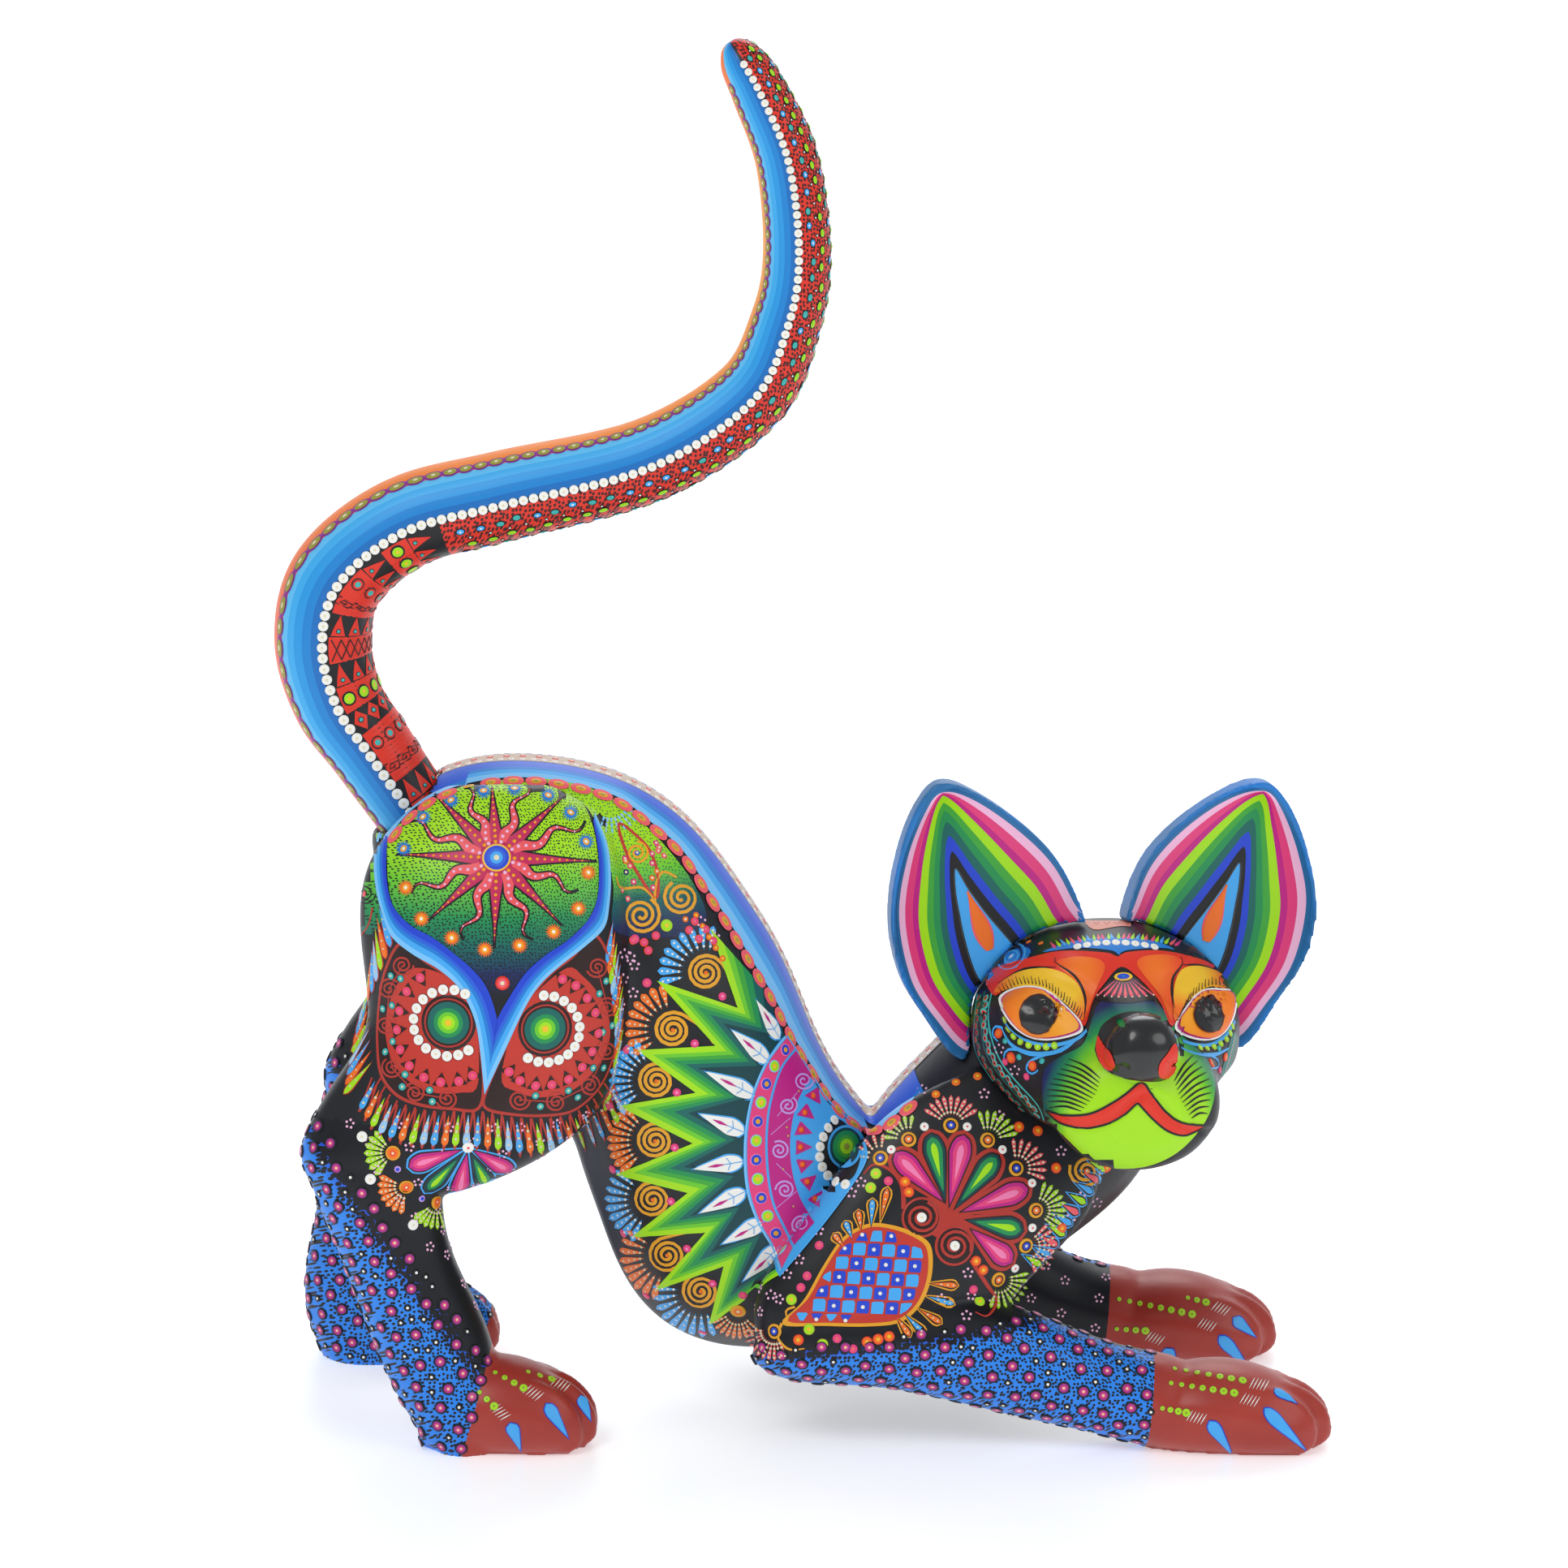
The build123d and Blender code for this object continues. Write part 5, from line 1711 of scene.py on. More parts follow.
def paint_flank(panel):
    """A green starburst round an eye, with gold shells and fans between its points."""
    outer, inner = [pair[0] for pair in ZIGZAG], [pair[1] for pair in ZIGZAG]
    wall = [toward((18, 88), p, 0.98) for p in ARCS[0][::-1]]
    panel.field(inner[:-1] + [(-1.1, 49.6)] + wall, "deep_teal", 0.17, 2.0, False)
    fine = [[], []]
    for k in range(len(ZIGZAG) - 1):
        for f in (0.0, 0.25, 0.5, 0.75):
            fine[0].append(toward(outer[k], outer[k + 1], f))
            fine[1].append(toward(inner[k], inner[k + 1], f))
    panel.bands(fine[0] + [outer[-1]], fine[1] + [inner[-1]], ZIGZAG_SHARES, 0.24, 1)
    for tip, base in PETALS:
        panel.drop(tip, base, [(1.07, 6.0, "sky"), (0.98, 5.0, "white")], 0.3, 0.66)
        panel.line([toward(tip, base, 0.3), toward(tip, base, 0.62)], [0.15, 1.0, 0.2], "magenta", 0.56,
                   False)
        panel.line([toward(tip, base, 0.55), base], 0.25, "sky", 0.54, False)
        for side in (-1, 1):
            middle = toward(tip, base, 0.75)
            run = math.degrees(math.atan2(tip[1] - base[1], tip[0] - base[0]))
            panel.line([middle, polar(*middle, 2.2, run + side * 60)], 0.22, "sky", 0.54, False, step=0.8)
    paint_eye_panel(panel)
    tips = outer[0::2]
    for k, centre in enumerate(SHELLS):
        start = math.degrees(math.atan2(tips[k][1] - centre[1], tips[k][0] - centre[0]))
        stop = math.degrees(math.atan2(tips[k + 1][1] - centre[1], tips[k + 1][0] - centre[0])) % 360
        start = start % 360
        if stop < start:
            stop += 360
        valley = outer[2 * k + 1]
        panel.fan(centre, start - 4, stop + 2, 9, 6.8, 14.0, 2.3, "orange" if k % 2 else "sky",
                  "cream" if k % 2 else "white")
        panel.spiral(centre, 5.4, 2.9, 1.05, "gold", math.degrees(math.atan2(valley[1] - centre[1],
                     valley[0] - centre[0])) + 80, -1)
        tail_start = polar(*centre, 5.4, math.degrees(math.atan2(valley[1] - centre[1],
                                                                 valley[0] - centre[0])) + 80)
        bow = toward(tail_start, valley, 0.5)
        panel.line([tail_start, (bow[0] + 0.8, bow[1] + 0.8), toward(tail_start, valley, 0.93)],
                   [1.0, 0.8, 0.2],
                   "gold", 0.24)
        panel.bead(centre, [(0.6, "orange")], 0.45)
        spot = toward(centre, valley, 0.52)
        panel.bead((spot[0], spot[1] - 1.6), [(1.25, "hot_pink"), (0.5, "pink")], 0.4)
    panel.fan((-13.4, 38.6), 205, 315, 9, 3.2, 8.6, 1.3, "orange", "cream")
    panel.bead((-13.4, 38.6), [(2.4, "gold"), (1.3, "orange"), (0.5, "cream")], 0.4)
    panel.beads([(-49.8, 81.6), (-50.6, 100.7), (-46.8, 62.2), (-40.2, 43.4), (-43.0, 150.4),
                 (-39.6, 137.4),
                 (-45.6, 117.5), (-23.8, 32.2), (-12.0, 43.5)], [(1.35, "hot_pink"), (0.6, "coral")], 0.4)
    paint_upper_flank(panel)


def paint_eye_panel(panel):
    panel.field(EYE_PANEL, "sky", 0.34, 2.0)
    panel.line(ARCS[0], 0.6, "light_sky", 0.5)
    first, second, third = matched(ARCS[0], 44), matched(ARCS[1], 44), matched(ARCS[2], 44)
    panel.band([toward(a, b, 0.1) for a, b in zip(first, second)],
               [toward(a, b, 0.93) for a, b in zip(first, second)],
               "hot_pink", 0.42, 1)
    panel.band([toward(a, b, 0.04) for a, b in zip(second, third)],
               [toward(a, b, 0.92) for a, b in zip(second, third)], "magenta", 0.42, 1)
    beads = matched([toward(a, b, 0.5) for a, b in zip(first, second)], 12)
    for k, spot in enumerate(beads[:-1]):
        spot = toward(spot, beads[k + 1], 0.5)
        rings = [(1.9, "pink"), (1.6, "royal"), (0.75, "gold")] if k % 2 == 0 else \
            [(1.9, "light_sky"), (1.6, "lime"), (0.7, "yellow")]
        panel.bead(spot, rings, 0.62)
    for k, centre in enumerate([(5.4, 108.2), (0.9, 100.7), (-1.5, 87.3), (0.2, 75.4), (5.0, 65.0)]):
        panel.spiral(centre, 2.9, 2.0, 0.55, "lilac", 60 * k, 1, 0.56)
    for a, b in (((3.6, 104.6), (-2.2, 97.5)), ((1.6, 97.0), (-4.0, 92.0)), ((-2.4, 83.4), (2.0, 79.0)),
                 ((3.6, 75.0), (-2.6, 69.6))):
        panel.line([a, toward(a, b, 0.5), b], 0.3, "lilac", 0.5)
    panel.beads([(0.6, 94.2), (1.0, 91.6), (-0.4, 81.6), (2.6, 70.4), (4.0, 105.0)],
                [(0.55, "purple"), (0.35, "gold")], 0.5)
    for centre in ((8.6, 103.6), (6.2, 98.6), (5.2, 93.4), (5.0, 88.2), (5.6, 83.0), (7.0, 77.8),
                   (9.4, 72.6)):
        away = math.degrees(math.atan2(88 - centre[1], 19 - centre[0]))
        base = [polar(*centre, 2.9, away - 125), polar(*centre, 2.9, away + 125)]
        panel.field([base[0], base[1], polar(*centre, 3.2, away)], "magenta", 0.44, 1.5, False)
        panel.bead((centre[0] - 0.4, centre[1]), [(1.05, "scarlet"), (0.6, "orange")], 0.6)
    lens = [(14.0, 96.4), (10.8, 91.6), (10.0, 86.4), (11.4, 81.4), (14.8, 77.6), (19.6, 78.4),
            (22.0, 83.2),
            (22.2, 88.4), (19.4, 93.0), (16.6, 96.0)]
    panel.field(lens, "black", 0.46, 1.6)
    disc = [(17.6 + 5.2 * math.cos(t), 88.2 + 6.5 * math.sin(t))
            for t in [math.pi * k / 9 for k in range(18)]]
    panel.nested(disc, (17.6, 88.2), [(1.0, "sky"), (0.88, "deep_teal"), (0.74, "leaf"), (0.52, "green"),
                                      (0.36, "lime"), (0.16, "olive")], 0.52, 1.5)
    for spot in ((14.4, 96.2), (12.6, 93.9), (11.2, 91.2), (10.3, 88.3), (10.2, 85.2), (11.0, 82.2),
                 (12.6, 79.6),
                 (15.3, 77.7), (18.0, 76.9)):
        panel.bead(spot, [(1.5, "white"), (0.4, "cream")], 0.68)
    panel.line([(0.6, 121.6), (7.6, 110.4), (13.0, 101.8), (20.0, 95.0), (23.6, 88.6), (22.8, 82.0),
                (12.6, 66.6),
                (-1.2, 49.2)], 0.9, "sky", 0.5)


def paint_upper_flank(panel):
    """Behind the haunch: green ground with a rust drop, two gold spirals and fine dabs."""
    graded_paint("upper_ground", [(0.0, "black"), (0.3, "navy"), (0.5, "teal"), (0.7, "mid_green"),
                                  (0.9, "lime"),
                                  (1.0, "lime")], at(0, 0, 143), (0, 0, 1), 0.036,
                                  ("deep_teal", 0.00125, 0.2, 0.2))
    panel.field([(-70.0, 198.0), (-63.0, 193.5), (-57.0, 189.5), (-53.8, 184.0), (-51.6, 178.0),
                 (-49.2, 166.0), (-49.6, 154.0),
                 (-44.0, 151.0), (-36.0, 150.6), (-27.0, 152.0), (-22.4, 157.0), (-26.0, 166.5),
                 (-31.5, 174.5),
                 (-38.0, 182.0), (-45.0, 188.6), (-53.0, 193.6), (-62.0, 197.0)], "upper_ground", 0.14, 2.0)
    panel.line([(-47.6, 184.4), (-45.4, 176.0), (-42.0, 169.6), (-37.0, 162.4), (-36.4, 169.4),
                (-38.6, 176.4),
                (-42.6, 181.0)], 0.95, "rust_red", 0.34, closed=True)
    panel.spiral((-42.3, 175.8), 3.4, 2.2, 0.7, "amber", 90, 1, 0.36)
    panel.bead((-42.3, 175.8), [(0.8, "royal"), (0.4, "cream")], 0.4)
    panel.spiral((-41.2, 157.4), 5.6, 2.6, 1.0, "gold", 60, 1, 0.34)
    panel.spiral((-29.6, 162.6), 5.2, 2.5, 1.0, "gold", 120, -1, 0.34)
    panel.line([(-37.2, 160.6), (-37.0, 166.0), (-35.0, 170.2), (-31.0, 168.6)], 0.8, "gold", 0.34)
    panel.line([(-37.6, 162.6), (-41.0, 165.6), (-47.0, 165.4), (-48.4, 168.8)], 0.8, "gold", 0.34)
    panel.bead((-33.9, 154.4), [(1.9, "olive"), (1.7, "lime"), (0.6, "yellow")], 0.4)
    chance = random.Random(11)
    for k in range(30):
        spot = (-47 + 20 * chance.random(), 155 + 24 * chance.random())
        if math.dist(spot, (-41.2, 157.4)) < 6 or math.dist(spot, (-30.2, 162)) < 5.5:
            continue
        panel.bead(spot, [(0.95, chance.choice(("coral", "hot_pink", "navy", "orange"))), (0.4, "cream")],
                   0.36)
    for k in range(9):
        turn = 250 + 12 * k
        for f in (4.0, 5.6, 7.2):
            a, b = polar(-50.0, 191.0, f + 1, turn), polar(-50.0, 191.0, f + 2.2, turn)
            panel.line([a, b], [0.8, 0.5], "pale_blue" if k % 2 else "light_sky", 0.3, False, step=0.6)
    for spot in ((-46.0, 146.0), (-43.2, 142.6), (-46.4, 138.6), (-43.6, 134.4), (-47.4, 130.6),
                 (-44.4, 145.0),
                 (-24.0, 155.6), (-20.0, 151.0)):
        panel.five(spot)
    panel.beads([(-43.6, 150.0), (-40.4, 149.4), (-39.2, 147.0), (-27.4, 153.0), (-24.6, 150.4),
                 (-25.8, 155.6),
                 (-22.6, 153.2), (-20.4, 149.8), (-37.0, 151.4)],
                 [(1.3, "scarlet"), (1.0, "hot_pink"), (0.45, "coral")], 0.42)
    for k, (u, v) in enumerate(matched([(-23.2, 158.8), (-19.6, 152.6), (-15.6, 146.0)], 4)):
        panel.bead((u - 2.2, v - 1.4), [(1.0, "orange"), (0.4, "yellow")], 0.36)


# ---- shoulder -------------------------------------------------------------------------------------------
SHOULDER_PETALS = [
    ((46.4, 75.4), (31.8, 90.6), "pink_leaf"), ((46.6, 75.4), (42.2, 96.4), "green_leaf"),
    ((47.6, 74.0), (51.8, 96.0), "pink_leaf"), ((49.0, 73.4), (61.8, 90.0), "green_leaf"),
    ((50.6, 72.6), (70.6, 80.0), "pink_leaf"), ((52.2, 70.4), (69.4, 67.2), "green_leaf"),
    ((53.6, 67.8), (66.0, 57.4), "pink_leaf"),
]
LEAVES = {
    "pink_leaf": [(1.2, 9.8, "rust"), (1.03, 7.2, "brown"), (0.94, 6.2, "magenta"), (0.74, 4.2, "hot_pink"),
                  (0.5, 2.0, "pink")],
    "green_leaf": [(1.2, 9.8, "rust"), (1.03, 7.2, "brown"), (0.94, 6.2, "deep_teal"), (0.78, 4.6, "leaf"),
                   (0.5, 2.0, "lime")],
}
SHELL_FANS = [
    ((27.8, 88.8), 130, "coral", 5), ((35.9, 94.4), 128, "lime", 6), ((48.0, 98.6), 90, "coral", 9),
    ((58.6, 94.2), 60, "lime", 7), ((66.9, 85.8), 38, "coral", 8), ((72.7, 73.2), 15, "lime", 9),
    ((69.9, 62.6), -12, "coral", 9), ((62.0, 52.4), -46, "lime", 9), ((-2.7, 36.8), 235, "coral", 11),
]
CHECK_FRAME = [
    (-0.6, 39.0), (5.6, 46.0), (11.4, 56.6), (17.2, 65.2), (24.4, 69.2), (32.0, 68.6), (39.0, 65.8),
    (42.6, 62.0), (42.6, 53.0), (39.4, 44.6), (33.6, 39.4), (24.0, 38.2), (12.0, 38.4),
]


def paint_shoulder(panel):
    """A big rust flower with two coiled hearts, fans round it, and a chequered drop."""
    panel.field([polar(47.0, 72.0, 7.5, 40 * k) for k in range(9)], "rust", 0.16, 2.0)
    for start, stop, kind in SHOULDER_PETALS:
        panel.drop(start, stop, LEAVES[kind], 0.2, 0.72)
    for centre, way in (((39.7, 71.1), 1), ((49.3, 62.6), -1)):
        panel.bead(centre, [(6.0, "rust"), (5.2, "brown")], 0.26)
        panel.spiral(centre, 4.9, 2.3, 0.85, "rust", 70 if way > 0 else -20, way, 0.46)
        panel.bead(centre, [(1.5, "white"), (0.4, "cream")], 0.62)
    panel.line([(34.6, 73.6), (34.0, 80.6), (31.0, 85.0), (26.0, 87.0), (23.0, 84.0)], [1.4, 1.2, 0.9, 0.4],
               "rust", 0.26)
    panel.line([(54.0, 58.4), (58.6, 51.0), (61.6, 46.0), (59.0, 41.4), (55.4, 42.6)], [1.2, 1.2, 0.9, 0.4],
               "rust", 0.26)
    panel.beads([(30.9, 91.4), (40.4, 98.2), (52.7, 98.2), (62.9, 91.4), (71.5, 81.4), (71.7, 68.0),
                 (66.8, 55.8)],
                [(1.3, "white"), (0.35, "coral")], 0.4)
    for centre, turn, colour, count in SHELL_FANS:
        wide = 58 if count > 7 else 46
        panel.fan(centre, turn + wide, turn - wide, count, 3.0, 9.0 if count > 6 else 7.4, 1.3, colour,
                  "cream")
        panel.bead(centre, [(2.3, "gold"), (1.55, "brown"),
                            (1.1, "orange" if colour == "lime" else "royal"),
                            (0.45, "cream")], 0.42)
    panel.field(CHECK_FRAME, "gold", 0.2, 2.0)
    middle = (24.4, 52.8)
    inner = [toward(middle, p, 0.93) for p in CHECK_FRAME]
    panel.field(inner, "rust_red", 0.28, 2.0)
    limit = [toward(middle, p, 0.88) for p in smooth_line(CHECK_FRAME, 5, True)]
    for row in range(-6, 7):
        for column in range(-7, 8):
            u = middle[0] + 4.2 * column + 0.8 * row
            v = middle[1] + 4.3 * row - 0.2 * column
            if not inside((u, v), limit):
                continue
            corners = []
            for a, b in ((-1.9, -1.8), (1.7, -1.95), (2.0, 1.8), (-1.6, 1.85)):
                f = next((f for f in (1.0, 0.75, 0.5, 0.3) if inside((u + a * f, v + b * f), limit)), 0.2)
                corners.append((u + a * f, v + b * f))
            dark = (row + column) % 2 == 0
            panel.field(corners, "royal" if dark else "sky", 0.4, 1.5, False)
            if dark:
                panel.bead((u, v), [(0.6, "white")], 0.55)
    for places in (((14.2, 66.4), (17.6, 70.2), (21.4, 73.6), (25.6, 77.0), (30.0, 80.4)),
                   ((50.6, 50.6), (49.6, 44.8), (45.9, 39.0), (41.1, 35.6), (36.8, 35.0))):
        for k, out in enumerate(places):
            base = toward(middle, out, 0.64 if k < 3 else 0.6)
            panel.drop(base, out, [(1.06, 3.6, "gold"), (0.92, 2.6, "brown"),
                                   (0.8, 1.6, ("orange", "sky")[k % 2])],
                       0.22, 0.74)
            for f in (0.45, 0.65, 0.82):
                panel.bead(toward(base, out, f), [(0.3, "cream")], 0.6)
    panel.line([(-0.6, 39.2), (-1.8, 35.0), (1.4, 31.4), (6.0, 31.6)], [0.9, 0.9, 0.7, 0.3], "gold", 0.26)
    panel.line([(3.2, 44.2), (0.6, 43.0), (1.4, 39.8)], [0.7, 0.6, 0.4], "gold", 0.26)
    panel.spiral((87.1, 85.1), 5.0, 2.6, 1.0, "gold", 160, -1)
    panel.bead((87.1, 85.1), [(0.9, "orange"), (0.4, "cream")], 0.4)
    panel.beads([(36.0, 78.7), (34.9, 81.8), (55.5, 58.0), (57.6, 55.3), (78.4, 85.9), (67.6, 98.2),
                 (80.2, 67.9),
                 (4.2, 34.2), (24.1, 33.6), (27.3, 34.4), (30.5, 35.2), (73.0, 97.0), (93.0, 86.0)],
                [(1.6, "scarlet"), (1.15, "orange"), (0.5, "yellow")], 0.4)
    panel.beads([(26.5, 84.2), (56.6, 45.8), (11.2, 32.9), (7.3, 37.4), (2.2, 46.4), (25.0, 80.0)],
                [(1.7, "olive"), (1.5, "lime"), (0.6, "yellow")], 0.4)
    panel.beads([(30.1, 82.0), (10.2, 62.7), (6.7, 53.5), (54.8, 49.4), (4.9, 50.0), (20.0, 31.5),
                 (15.4, 34.6)],
                [(1.35, "hot_pink"), (0.6, "coral")], 0.4)
    for spot in ((19.5, 78.5), (22.2, 81.6), (79.8, 91.0), (85.5, 77.3), (83.1, 71.4), (53.2, 54.4),
                 (52.9, 41.6),
                 (10.0, 67.2), (4.4, 58.4), (-3.8, 47.8), (0.8, 54.0), (76.0, 60.0), (88.0, 92.0),
                 (62.0, 101.5)):
        panel.five(spot)


# ---- thigh and neck -------------------------------------------------------------------------------------
def paint_thigh(panel):
    """Under the haunch: a blue-edged fan of leaves between small fans and pearls."""
    hub = (-91.1, 91.5)
    for out, kind in (((-108.4, 85.7), "magenta"), ((-103.6, 78.1), "deep_teal"),
                      ((-94.2, 76.9), "magenta"),
                      ((-85.4, 79.5), "deep_teal"), ((-78.7, 84.3), "magenta")):
        light = ("hot_pink", "pink") if kind == "magenta" else ("leaf", "lime")
        panel.drop(toward(hub, out, 0.1), out, [(1.16, 7.4, "sky"), (1.04, 6.2, "brown"), (0.95, 5.2, kind),
                                                (0.74, 3.4, light[0]), (0.48, 1.6, light[1])], 0.2, 0.72)
    panel.bead(hub, [(1.7, "white"), (0.45, "coral")], 0.45)
    for centre, turn, half, colour in (((-112.8, 89.8), 180, 52, "lime"),
                                       ((-109.1, 79.7), 208, 50, "orange"),
                                       ((-100.5, 75.2), 258, 40, "lime")):
        panel.fan(centre, turn + half, turn - half, 7, 2.6, 8.4, 1.9, colour, "cream")
        panel.bead(centre, [(2.2, "gold"), (1.7, "orange"), (0.9, "scarlet"), (0.4, "cream")], 0.42)
    panel.beads([(-121.6, 94.7), (-119.4, 82.0), (-107.3, 68.3)], [(1.6, "white"), (0.4, "cream")], 0.42)
    panel.beads([(-111.5, 85.0), (-104.7, 76.2)], [(1.0, "lilac"), (0.6, "royal")], 0.4)


def paint_neck(panel):
    """Beads and small fans on the side of the neck, and scales down the front of the chest."""
    panel.beads([(44.0, 104.6), (49.8, 108.2), (56.0, 110.0), (62.0, 108.0)],
                [(1.3, "orange"), (0.5, "yellow")], 0.36)
    for k, (u, v) in enumerate(matched([(98.0, 92.0), (93.4, 84.0), (89.0, 76.0), (84.0, 68.0),
                                        (79.0, 60.0),
                                        (74.0, 53.6)], 12)):
        colour = ("lime", "coral", "sky")[k % 3]
        panel.drop((u - 4.6, v + 2.8), (u + 1.2, v - 0.6), [(1.12, 3.8, "sky"), (0.98, 2.9, "brown"),
                                                           (0.8, 1.9, colour)], 0.2, 0.72)
    for spot in ((40.0, 106.0), (58.0, 104.8), (70.0, 104.0), (91.0, 72.0)):
        panel.five(spot)

# ---- legs and paws --------------------------------------------------------------------------------------
def leg_paint(name, start, stop, inner):
    """Blue ground with fine black stipple, closing to black towards stop and towards the inner side."""
    paint, tree, body = shader(name)
    axis = Vector(stop) - Vector(start)
    factor = along_axis(tree, at(*start), axis, axis.length * MM)
    if inner:
        place = tree.nodes.new("ShaderNodeTexCoord")
        parts = tree.nodes.new("ShaderNodeSeparateXYZ")
        link(tree, place.outputs["Object"], parts.inputs[0])
        across = tree.nodes.new("ShaderNodeMath")
        across.operation = "SUBTRACT"
        across.inputs[1].default_value = DATUM.y * MM
        link(tree, parts.outputs["Y"], across.inputs[0])
        away = tree.nodes.new("ShaderNodeMath")
        away.operation = "ABSOLUTE"
        link(tree, across.outputs[0], away.inputs[0])
        close = tree.nodes.new("ShaderNodeMapRange")
        close.inputs["From Min"].default_value = inner[0] * MM
        close.inputs["From Max"].default_value = inner[1] * MM
        link(tree, away.outputs[0], close.inputs["Value"])
        most = tree.nodes.new("ShaderNodeMath")
        most.operation = "MAXIMUM"
        link(tree, factor, most.inputs[0])
        link(tree, close.outputs["Result"], most.inputs[1])
        factor = most.outputs[0]
    ground = ramp(tree, factor, [(0.0, "leg_blue"), (0.45, "leg_blue"), (0.8, "royal"), (0.95, "navy")])
    cells = side_dots(tree, 0.00128, 0.7)
    limit = tree.nodes.new("ShaderNodeValToRGB")
    limit.color_ramp.elements[0].position = 0.45
    limit.color_ramp.elements[0].color = (0.31, 0.31, 0.31, 1)
    limit.color_ramp.elements[1].position = 1.0
    limit.color_ramp.elements[1].color = (1.0, 1.0, 1.0, 1)
    link(tree, factor, limit.inputs["Fac"])
    covered = tree.nodes.new("ShaderNodeMath")
    covered.operation = "LESS_THAN"
    link(tree, cells.outputs["Distance"], covered.inputs[0])
    link(tree, limit.outputs["Color"], covered.inputs[1])
    mix = tree.nodes.new("ShaderNodeMix")
    mix.data_type = "RGBA"
    mix.inputs[7].default_value = linear(PALETTE["deep_navy"])
    link(tree, covered.outputs["Value"], mix.inputs[0])
    link(tree, ground, mix.inputs[6])
    link(tree, mix.outputs[2], body.inputs["Base Color"])
    brushed(tree, body)
    return paint


def split(obj, point, normal):
    """Cuts a mesh's faces along a plane, so that a colour can end there crisply."""
    bm = bmesh.new()
    bm.from_mesh(obj.data)
    bmesh.ops.bisect_plane(bm, geom=bm.verts[:] + bm.edges[:] + bm.faces[:], dist=1e-7, plane_co=point,
                           plane_no=normal)
    bm.to_mesh(obj.data)
    bm.free()


FAR_STEP = -8.0
# Where paw meets leg: a point of the plane and its direction towards the toes, in the datum's X and Z.
PAW_EDGES = {"hind": ((-90.4, 12.0), (0.963, -0.268)), "fore": ((106.8, 16.0), (0.996, -0.085))}
# Where the leg turns from blue to black: from a point to a point in the datum, and the inner side's depths.
LEG_GRADES = {
    "hind": ((-117.0, 0.0, 47.2), (-103.4, 0.0, 56.4), None),
    "fore": ((8.0, 0.0, 23.5), (6.6, 0.0, 34.5), (47.0, 41.5)),
}


def coat_leg(name, obj):
    """Three coats: black above, stippled blue down the leg, and a brick-red paw."""
    kind = name.split("_")[0].replace("leg", "")
    kind = "hind" if name.startswith("hind") else "fore"
    (x, z), (run, rise) = PAW_EDGES[kind]
    x += FAR_STEP if name == "foreleg_left" else 0
    point, normal = at(x, 0, z), Vector((run, 0, rise)).normalized()
    split(obj, point, normal)
    obj.data.materials.clear()
    for material in ("ground_black", "leg_" + kind, "paw_brick"):
        obj.data.materials.append(bpy.data.materials[material])
    top = 0.1 if kind == "hind" else 0.047
    for polygon in obj.data.polygons:
        centre = polygon.center
        if (centre - point).dot(normal) > 0 and centre.z < 0.045:
            polygon.material_index = 2
        elif centre.z < top:
            polygon.material_index = 1
        else:
            polygon.material_index = 0
        polygon.use_smooth = True


def scatter(paint, obj, wanted, rings, spacing, taken, chance, height=0.4):
    """Beads at random places of a skin where wanted(point) holds, none nearer than spacing to another."""
    spots = [vertex.co.copy() for vertex in obj.data.vertices if wanted(vertex.co)]
    chance.shuffle(spots)
    cells = {}
    for spot, gap in taken:
        cells.setdefault(tuple(int(c / 0.008) for c in spot), []).append((spot, gap))
    for spot in spots:
        cell = tuple(int(c / 0.008) for c in spot)
        near = [other for i in (-1, 0, 1) for j in (-1, 0, 1) for k in (-1, 0, 1)
                for other in cells.get((cell[0] + i, cell[1] + j, cell[2] + k), [])]
        if all((spot - other).length > (spacing + gap) / 2 * MM for other, gap in near):
            cells.setdefault(cell, []).append((spot, spacing))
            taken.append((spot, spacing))
            paint.bead(spot, rings, height)


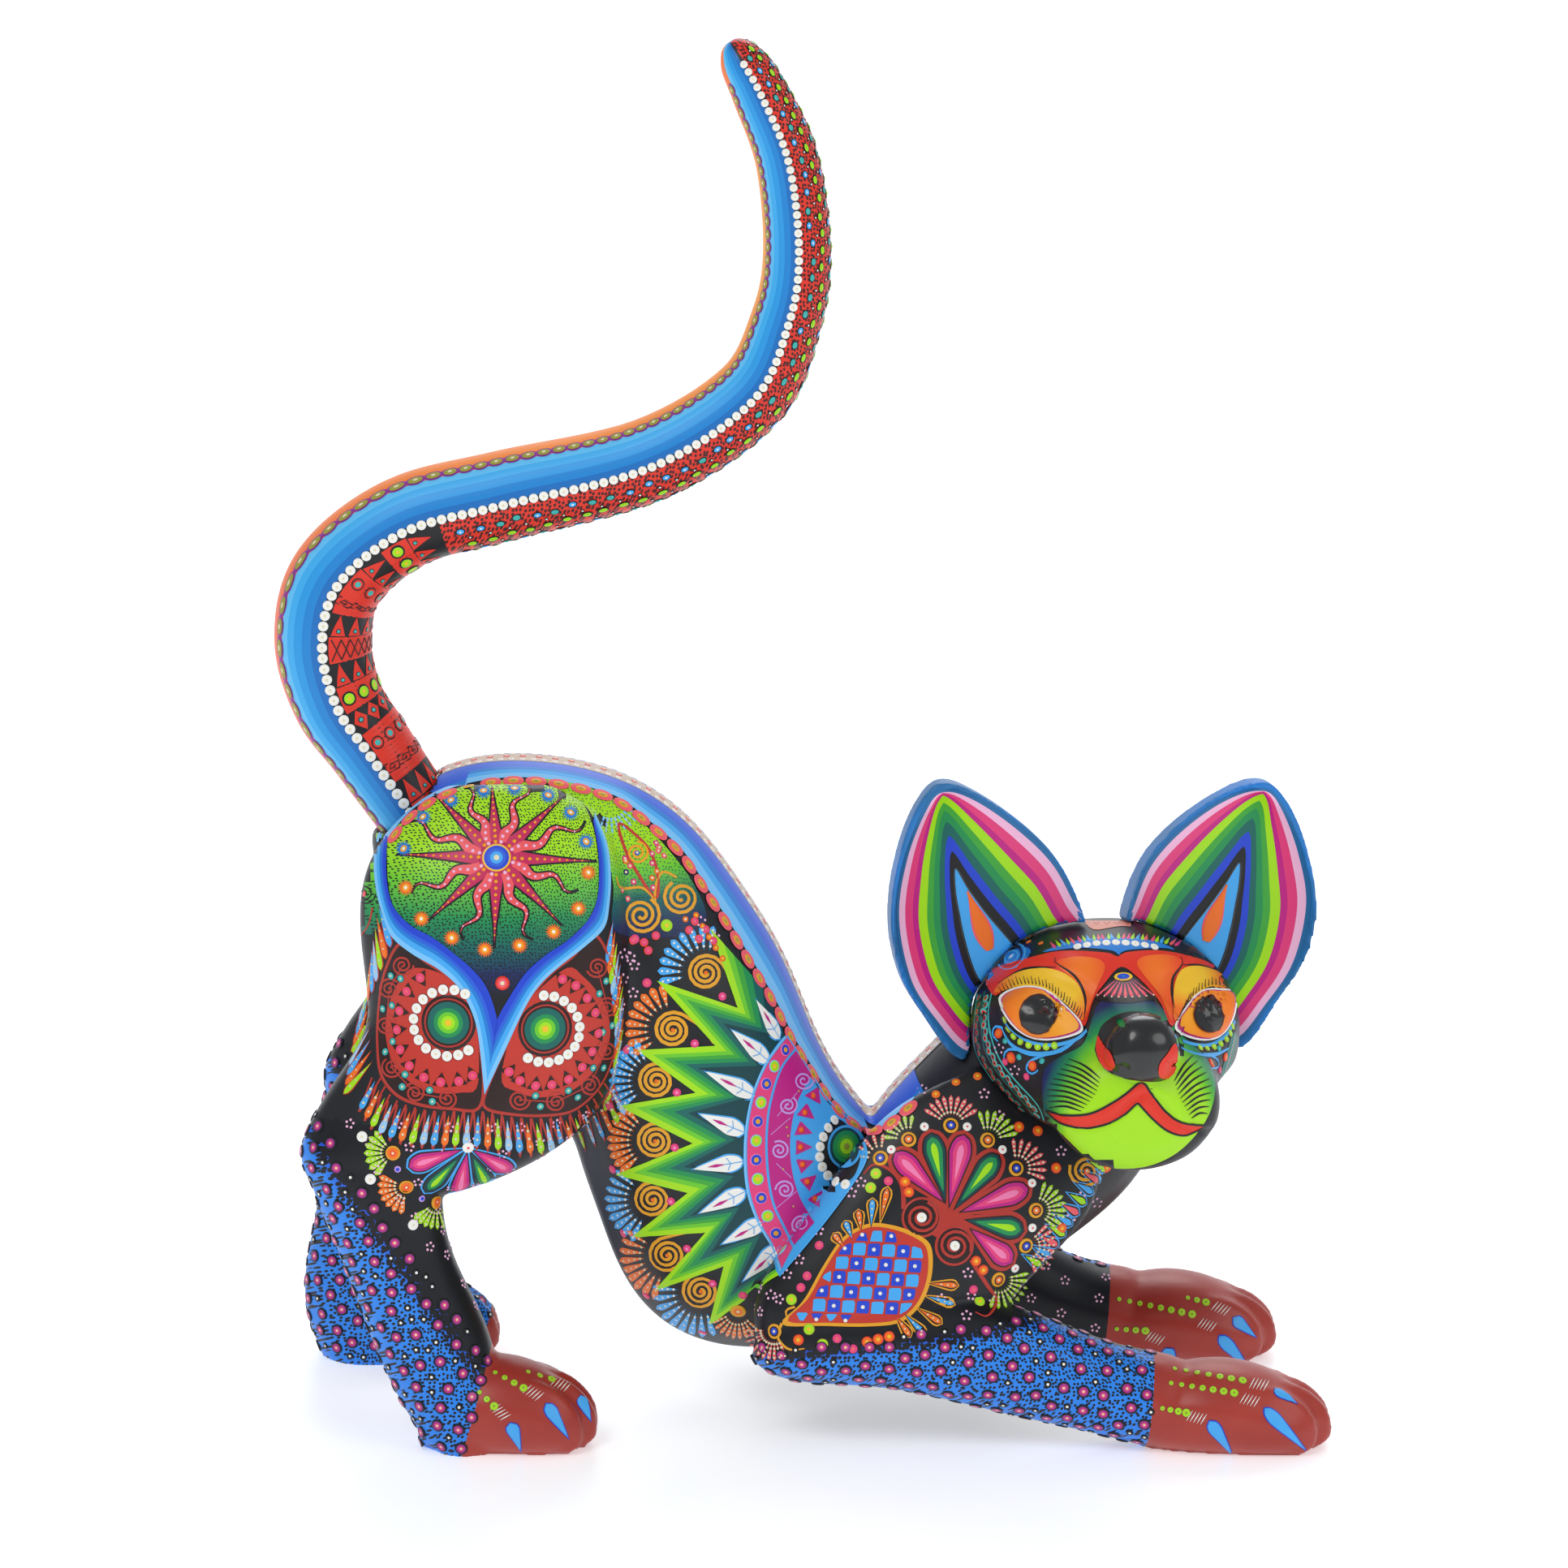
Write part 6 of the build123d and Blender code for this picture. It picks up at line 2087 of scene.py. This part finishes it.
def paint_leg(name, obj):
    """Magenta and white beads over the blue, and flowers of dots in the black."""
    paint = Paint(name + "_beads", CARVING, tree_of(obj))
    chance = random.Random(sum(map(ord, name)))
    blue = {polygon.material_index: set() for polygon in obj.data.polygons}
    for polygon in obj.data.polygons:
        blue[polygon.material_index].update(polygon.vertices)
    kept = {tuple(obj.data.vertices[i].co) for i in blue.get(1, set()) - blue.get(2, set())}
    hind = name.startswith("hind")
    glue = (HIND_GLUE if hind else FORE_GLUE) + 0.8
    start, stop, inner = LEG_GRADES["hind" if hind else "fore"]
    axis = at(*stop) - at(*start)

    def level(co):
        along = (co - at(*start)).dot(axis) / axis.length_squared
        away = abs(co.y / MM - DATUM.y)
        return max(along, (away - inner[0]) / (inner[1] - inner[0])) if inner else along

    def on_blue(co):
        off_glue = abs(co.y - DATUM.y * MM) > glue * MM
        return tuple(co) in kept and co.z > 0.002 and level(co) < 0.92 and off_glue

    def on_black(co):
        return tuple(co) in kept and level(co) > 1.15

    taken = []
    scatter(paint, obj, on_blue, [(1.95, "deep_navy"), (1.4, "plum"), (0.8, "pink_core"), (0.35, "cream")],
            5.5, taken,
            chance)
    scatter(paint, obj, on_blue, [(1.1, "deep_navy"), (0.42, "white")], 3.15, taken, chance, 0.3)
    taken = [item for item in taken]
    spots = [vertex.co.copy() for vertex in obj.data.vertices if on_black(vertex.co)]
    chance.shuffle(spots)
    for spot in spots:
        if all((spot - other).length > 7.0 * MM for other, gap in taken):
            taken.append((spot, 7.0))
            place, normal, index, distance = paint.tree.find_nearest(spot)
            side = normal.orthogonal().normalized()
            up = normal.cross(side)
            for k in range(5):
                turn = 2 * math.pi * k / 5
                paint.dot(spot + (side * math.cos(turn) + up * math.sin(turn)) * 1.15 * MM, 0.4,
                          "pale_pink", 0.22)
    paint_paw(paint, hind, -1 if name.endswith("right") else 1)
    return paint.dry()


# Toes of a paw as seen from the cat's right: claw root and tip, hatching, then the ends of the row of dots.
NEAR_HIND = (
    ((-79.8, 8.6), (-76.6, -0.6), (-82.6, 11.6), (-84.4, 13.4), (-88.6, 17.6), 3),
    ((-69.4, 14.4), (-62.6, 3.2), (-73.0, 17.4), (-75.8, 18.9), (-84.0, 23.6), 4),
    ((-59.4, 16.8), (-56.2, 8.6), (-65.0, 20.0), (-67.6, 21.6), (-74.4, 23.8), 3),
)
NEAR_FORE = (
    ((123.8, 9.2), (131.4, -2.4), (120.2, 10.0), (117.2, 11.4), (110.2, 12.8), 4),
    ((139.6, 13.0), (153.0, -0.8), (135.6, 15.2), (131.0, 17.4), (112.6, 20.4), 7),
    ((142.6, 18.8), (149.6, 14.0), (138.2, 20.0), (133.4, 21.2), (113.6, 24.8), 7),
)
FAR_FORE = (
    ((117.0, 2.8), (120.8, -2.4), (113.8, 5.8), (110.8, 8.2), (102.0, 8.8), 4),
    ((133.2, 6.8), (144.6, -6.0), (129.6, 10.0), (125.0, 13.4), (102.6, 18.2), 8),
    ((137.4, 12.4), (145.0, 5.8), (133.8, 15.2), (129.2, 17.2), (123.6, 18.6), 3),
)


def paint_paw(paint, hind, side):
    """Rows of lime dots along the toes, white hatching, and a blue claw on each toe."""
    views = [(-1, 50, NEAR_HIND if hind else NEAR_FORE, 0.0)] if side < 0 else \
        [(1, 50, NEAR_HIND, -6.0)] if hind else [(-1, -40, FAR_FORE, 0.0), (1, 50, NEAR_FORE[:1], FAR_STEP)]
    for look, depth, toes, shift in views:
        panel = Panel(paint, depth, look)
        for toe in toes:
            root, tip, hatch, near, far = [(p[0] + shift, p[1]) for p in toe[:5]]
            panel.drop(tip, root, [(1.0, 4.4, "royal"), (0.9, 3.7, "sky")], 0.26, 0.74)
            run = math.degrees(math.atan2(root[1] - far[1], root[0] - far[0]))
            for k in range(5):
                spot = polar(*hatch, 1.05 * (k - 2), run)
                panel.line([polar(*spot, 1.8, run + 75), spot, polar(*spot, 1.8, run - 105)],
                           [0.1, 0.34, 0.1],
                           "white", 0.26, False, step=0.7)
            for k in range(toe[5]):
                spot = toward(near, far, k / (toe[5] - 1))
                size = 1.3 - 0.55 * k / (toe[5] - 1)
                panel.bead(spot, [(size, "olive"), (size * 0.84, "lime"), (size * 0.3, "olive")], 0.34)


def paint_all(whole, pieces, head):
    face = Paint("face_paint", CARVING, tree_of(head), 1.1)
    paint_face(Panel(face, 50))
    face.dry()
    for kind, (start, stop, inner) in LEG_GRADES.items():
        leg_paint("leg_" + kind, start, stop, inner)
    ground_paint("paw_brick", "brick", "brick_light", 0.36)
    for name in LEGS:
        coat_leg(name, pieces[name])
        paint_leg(name, pieces[name])
    tree = tree_of(whole)
    panels = []
    for side, label in ((-1, "right"), (1, "left")):
        for zone, work, depth in (("haunch", paint_haunch, 52), ("thigh", paint_thigh, 50),
                                  ("flank", paint_flank, 38),
                                  ("shoulder", paint_shoulder, 52), ("neck", paint_neck, 40)):
            paint = Paint(f"{zone}_paint_{label}", CARVING, tree)
            work(Panel(paint, depth, side))
            paint.dry()
    spine = Paint("spine_paint", CARVING, tree)
    paint_spine(spine, [Panel(spine, OVAL_DEPTH, side) for side in (-1, 1)])
    spine.dry()


PEGS = (
    "tail_peg", "ear_peg_left", "ear_peg_right", "neck_dowel", "hip_dowel_left", "hip_dowel_right",
    "shoulder_dowel_left", "shoulder_dowel_right",
)


def coat(obj, material):
    """Gives a skin one ground coat."""
    obj.data.materials.clear()
    obj.data.materials.append(material)
    obj.data.polygons.foreach_set("material_index", [0] * len(obj.data.polygons))


def main():
    whole, pieces = carve_body()
    head = carve_head()
    ears = carve_ears()
    tail = Tail()
    tail_skin = carve_tail(tail)
    paint_tail(tail, tail_skin)
    for name, ear in ears.items():
        coat(ear, ground_paint("ear_back_" + name, "ear_blue", "blue"))
        paint_ear(name, ear)
    black = ground_paint("ground_black", "black", "charcoal")
    for piece in pieces.values():
        coat(piece, black)
    coat(head, black)
    paint_all(whole, pieces, head)
    wood = bare_wood()
    for node in PEGS:
        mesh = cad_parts[node].data
        mesh.materials.clear()
        mesh.materials.append(wood)
    discard(whole)
    studio()
    [[list(corner) for corner in box] for box in (CAD_BOX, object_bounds())]


main()
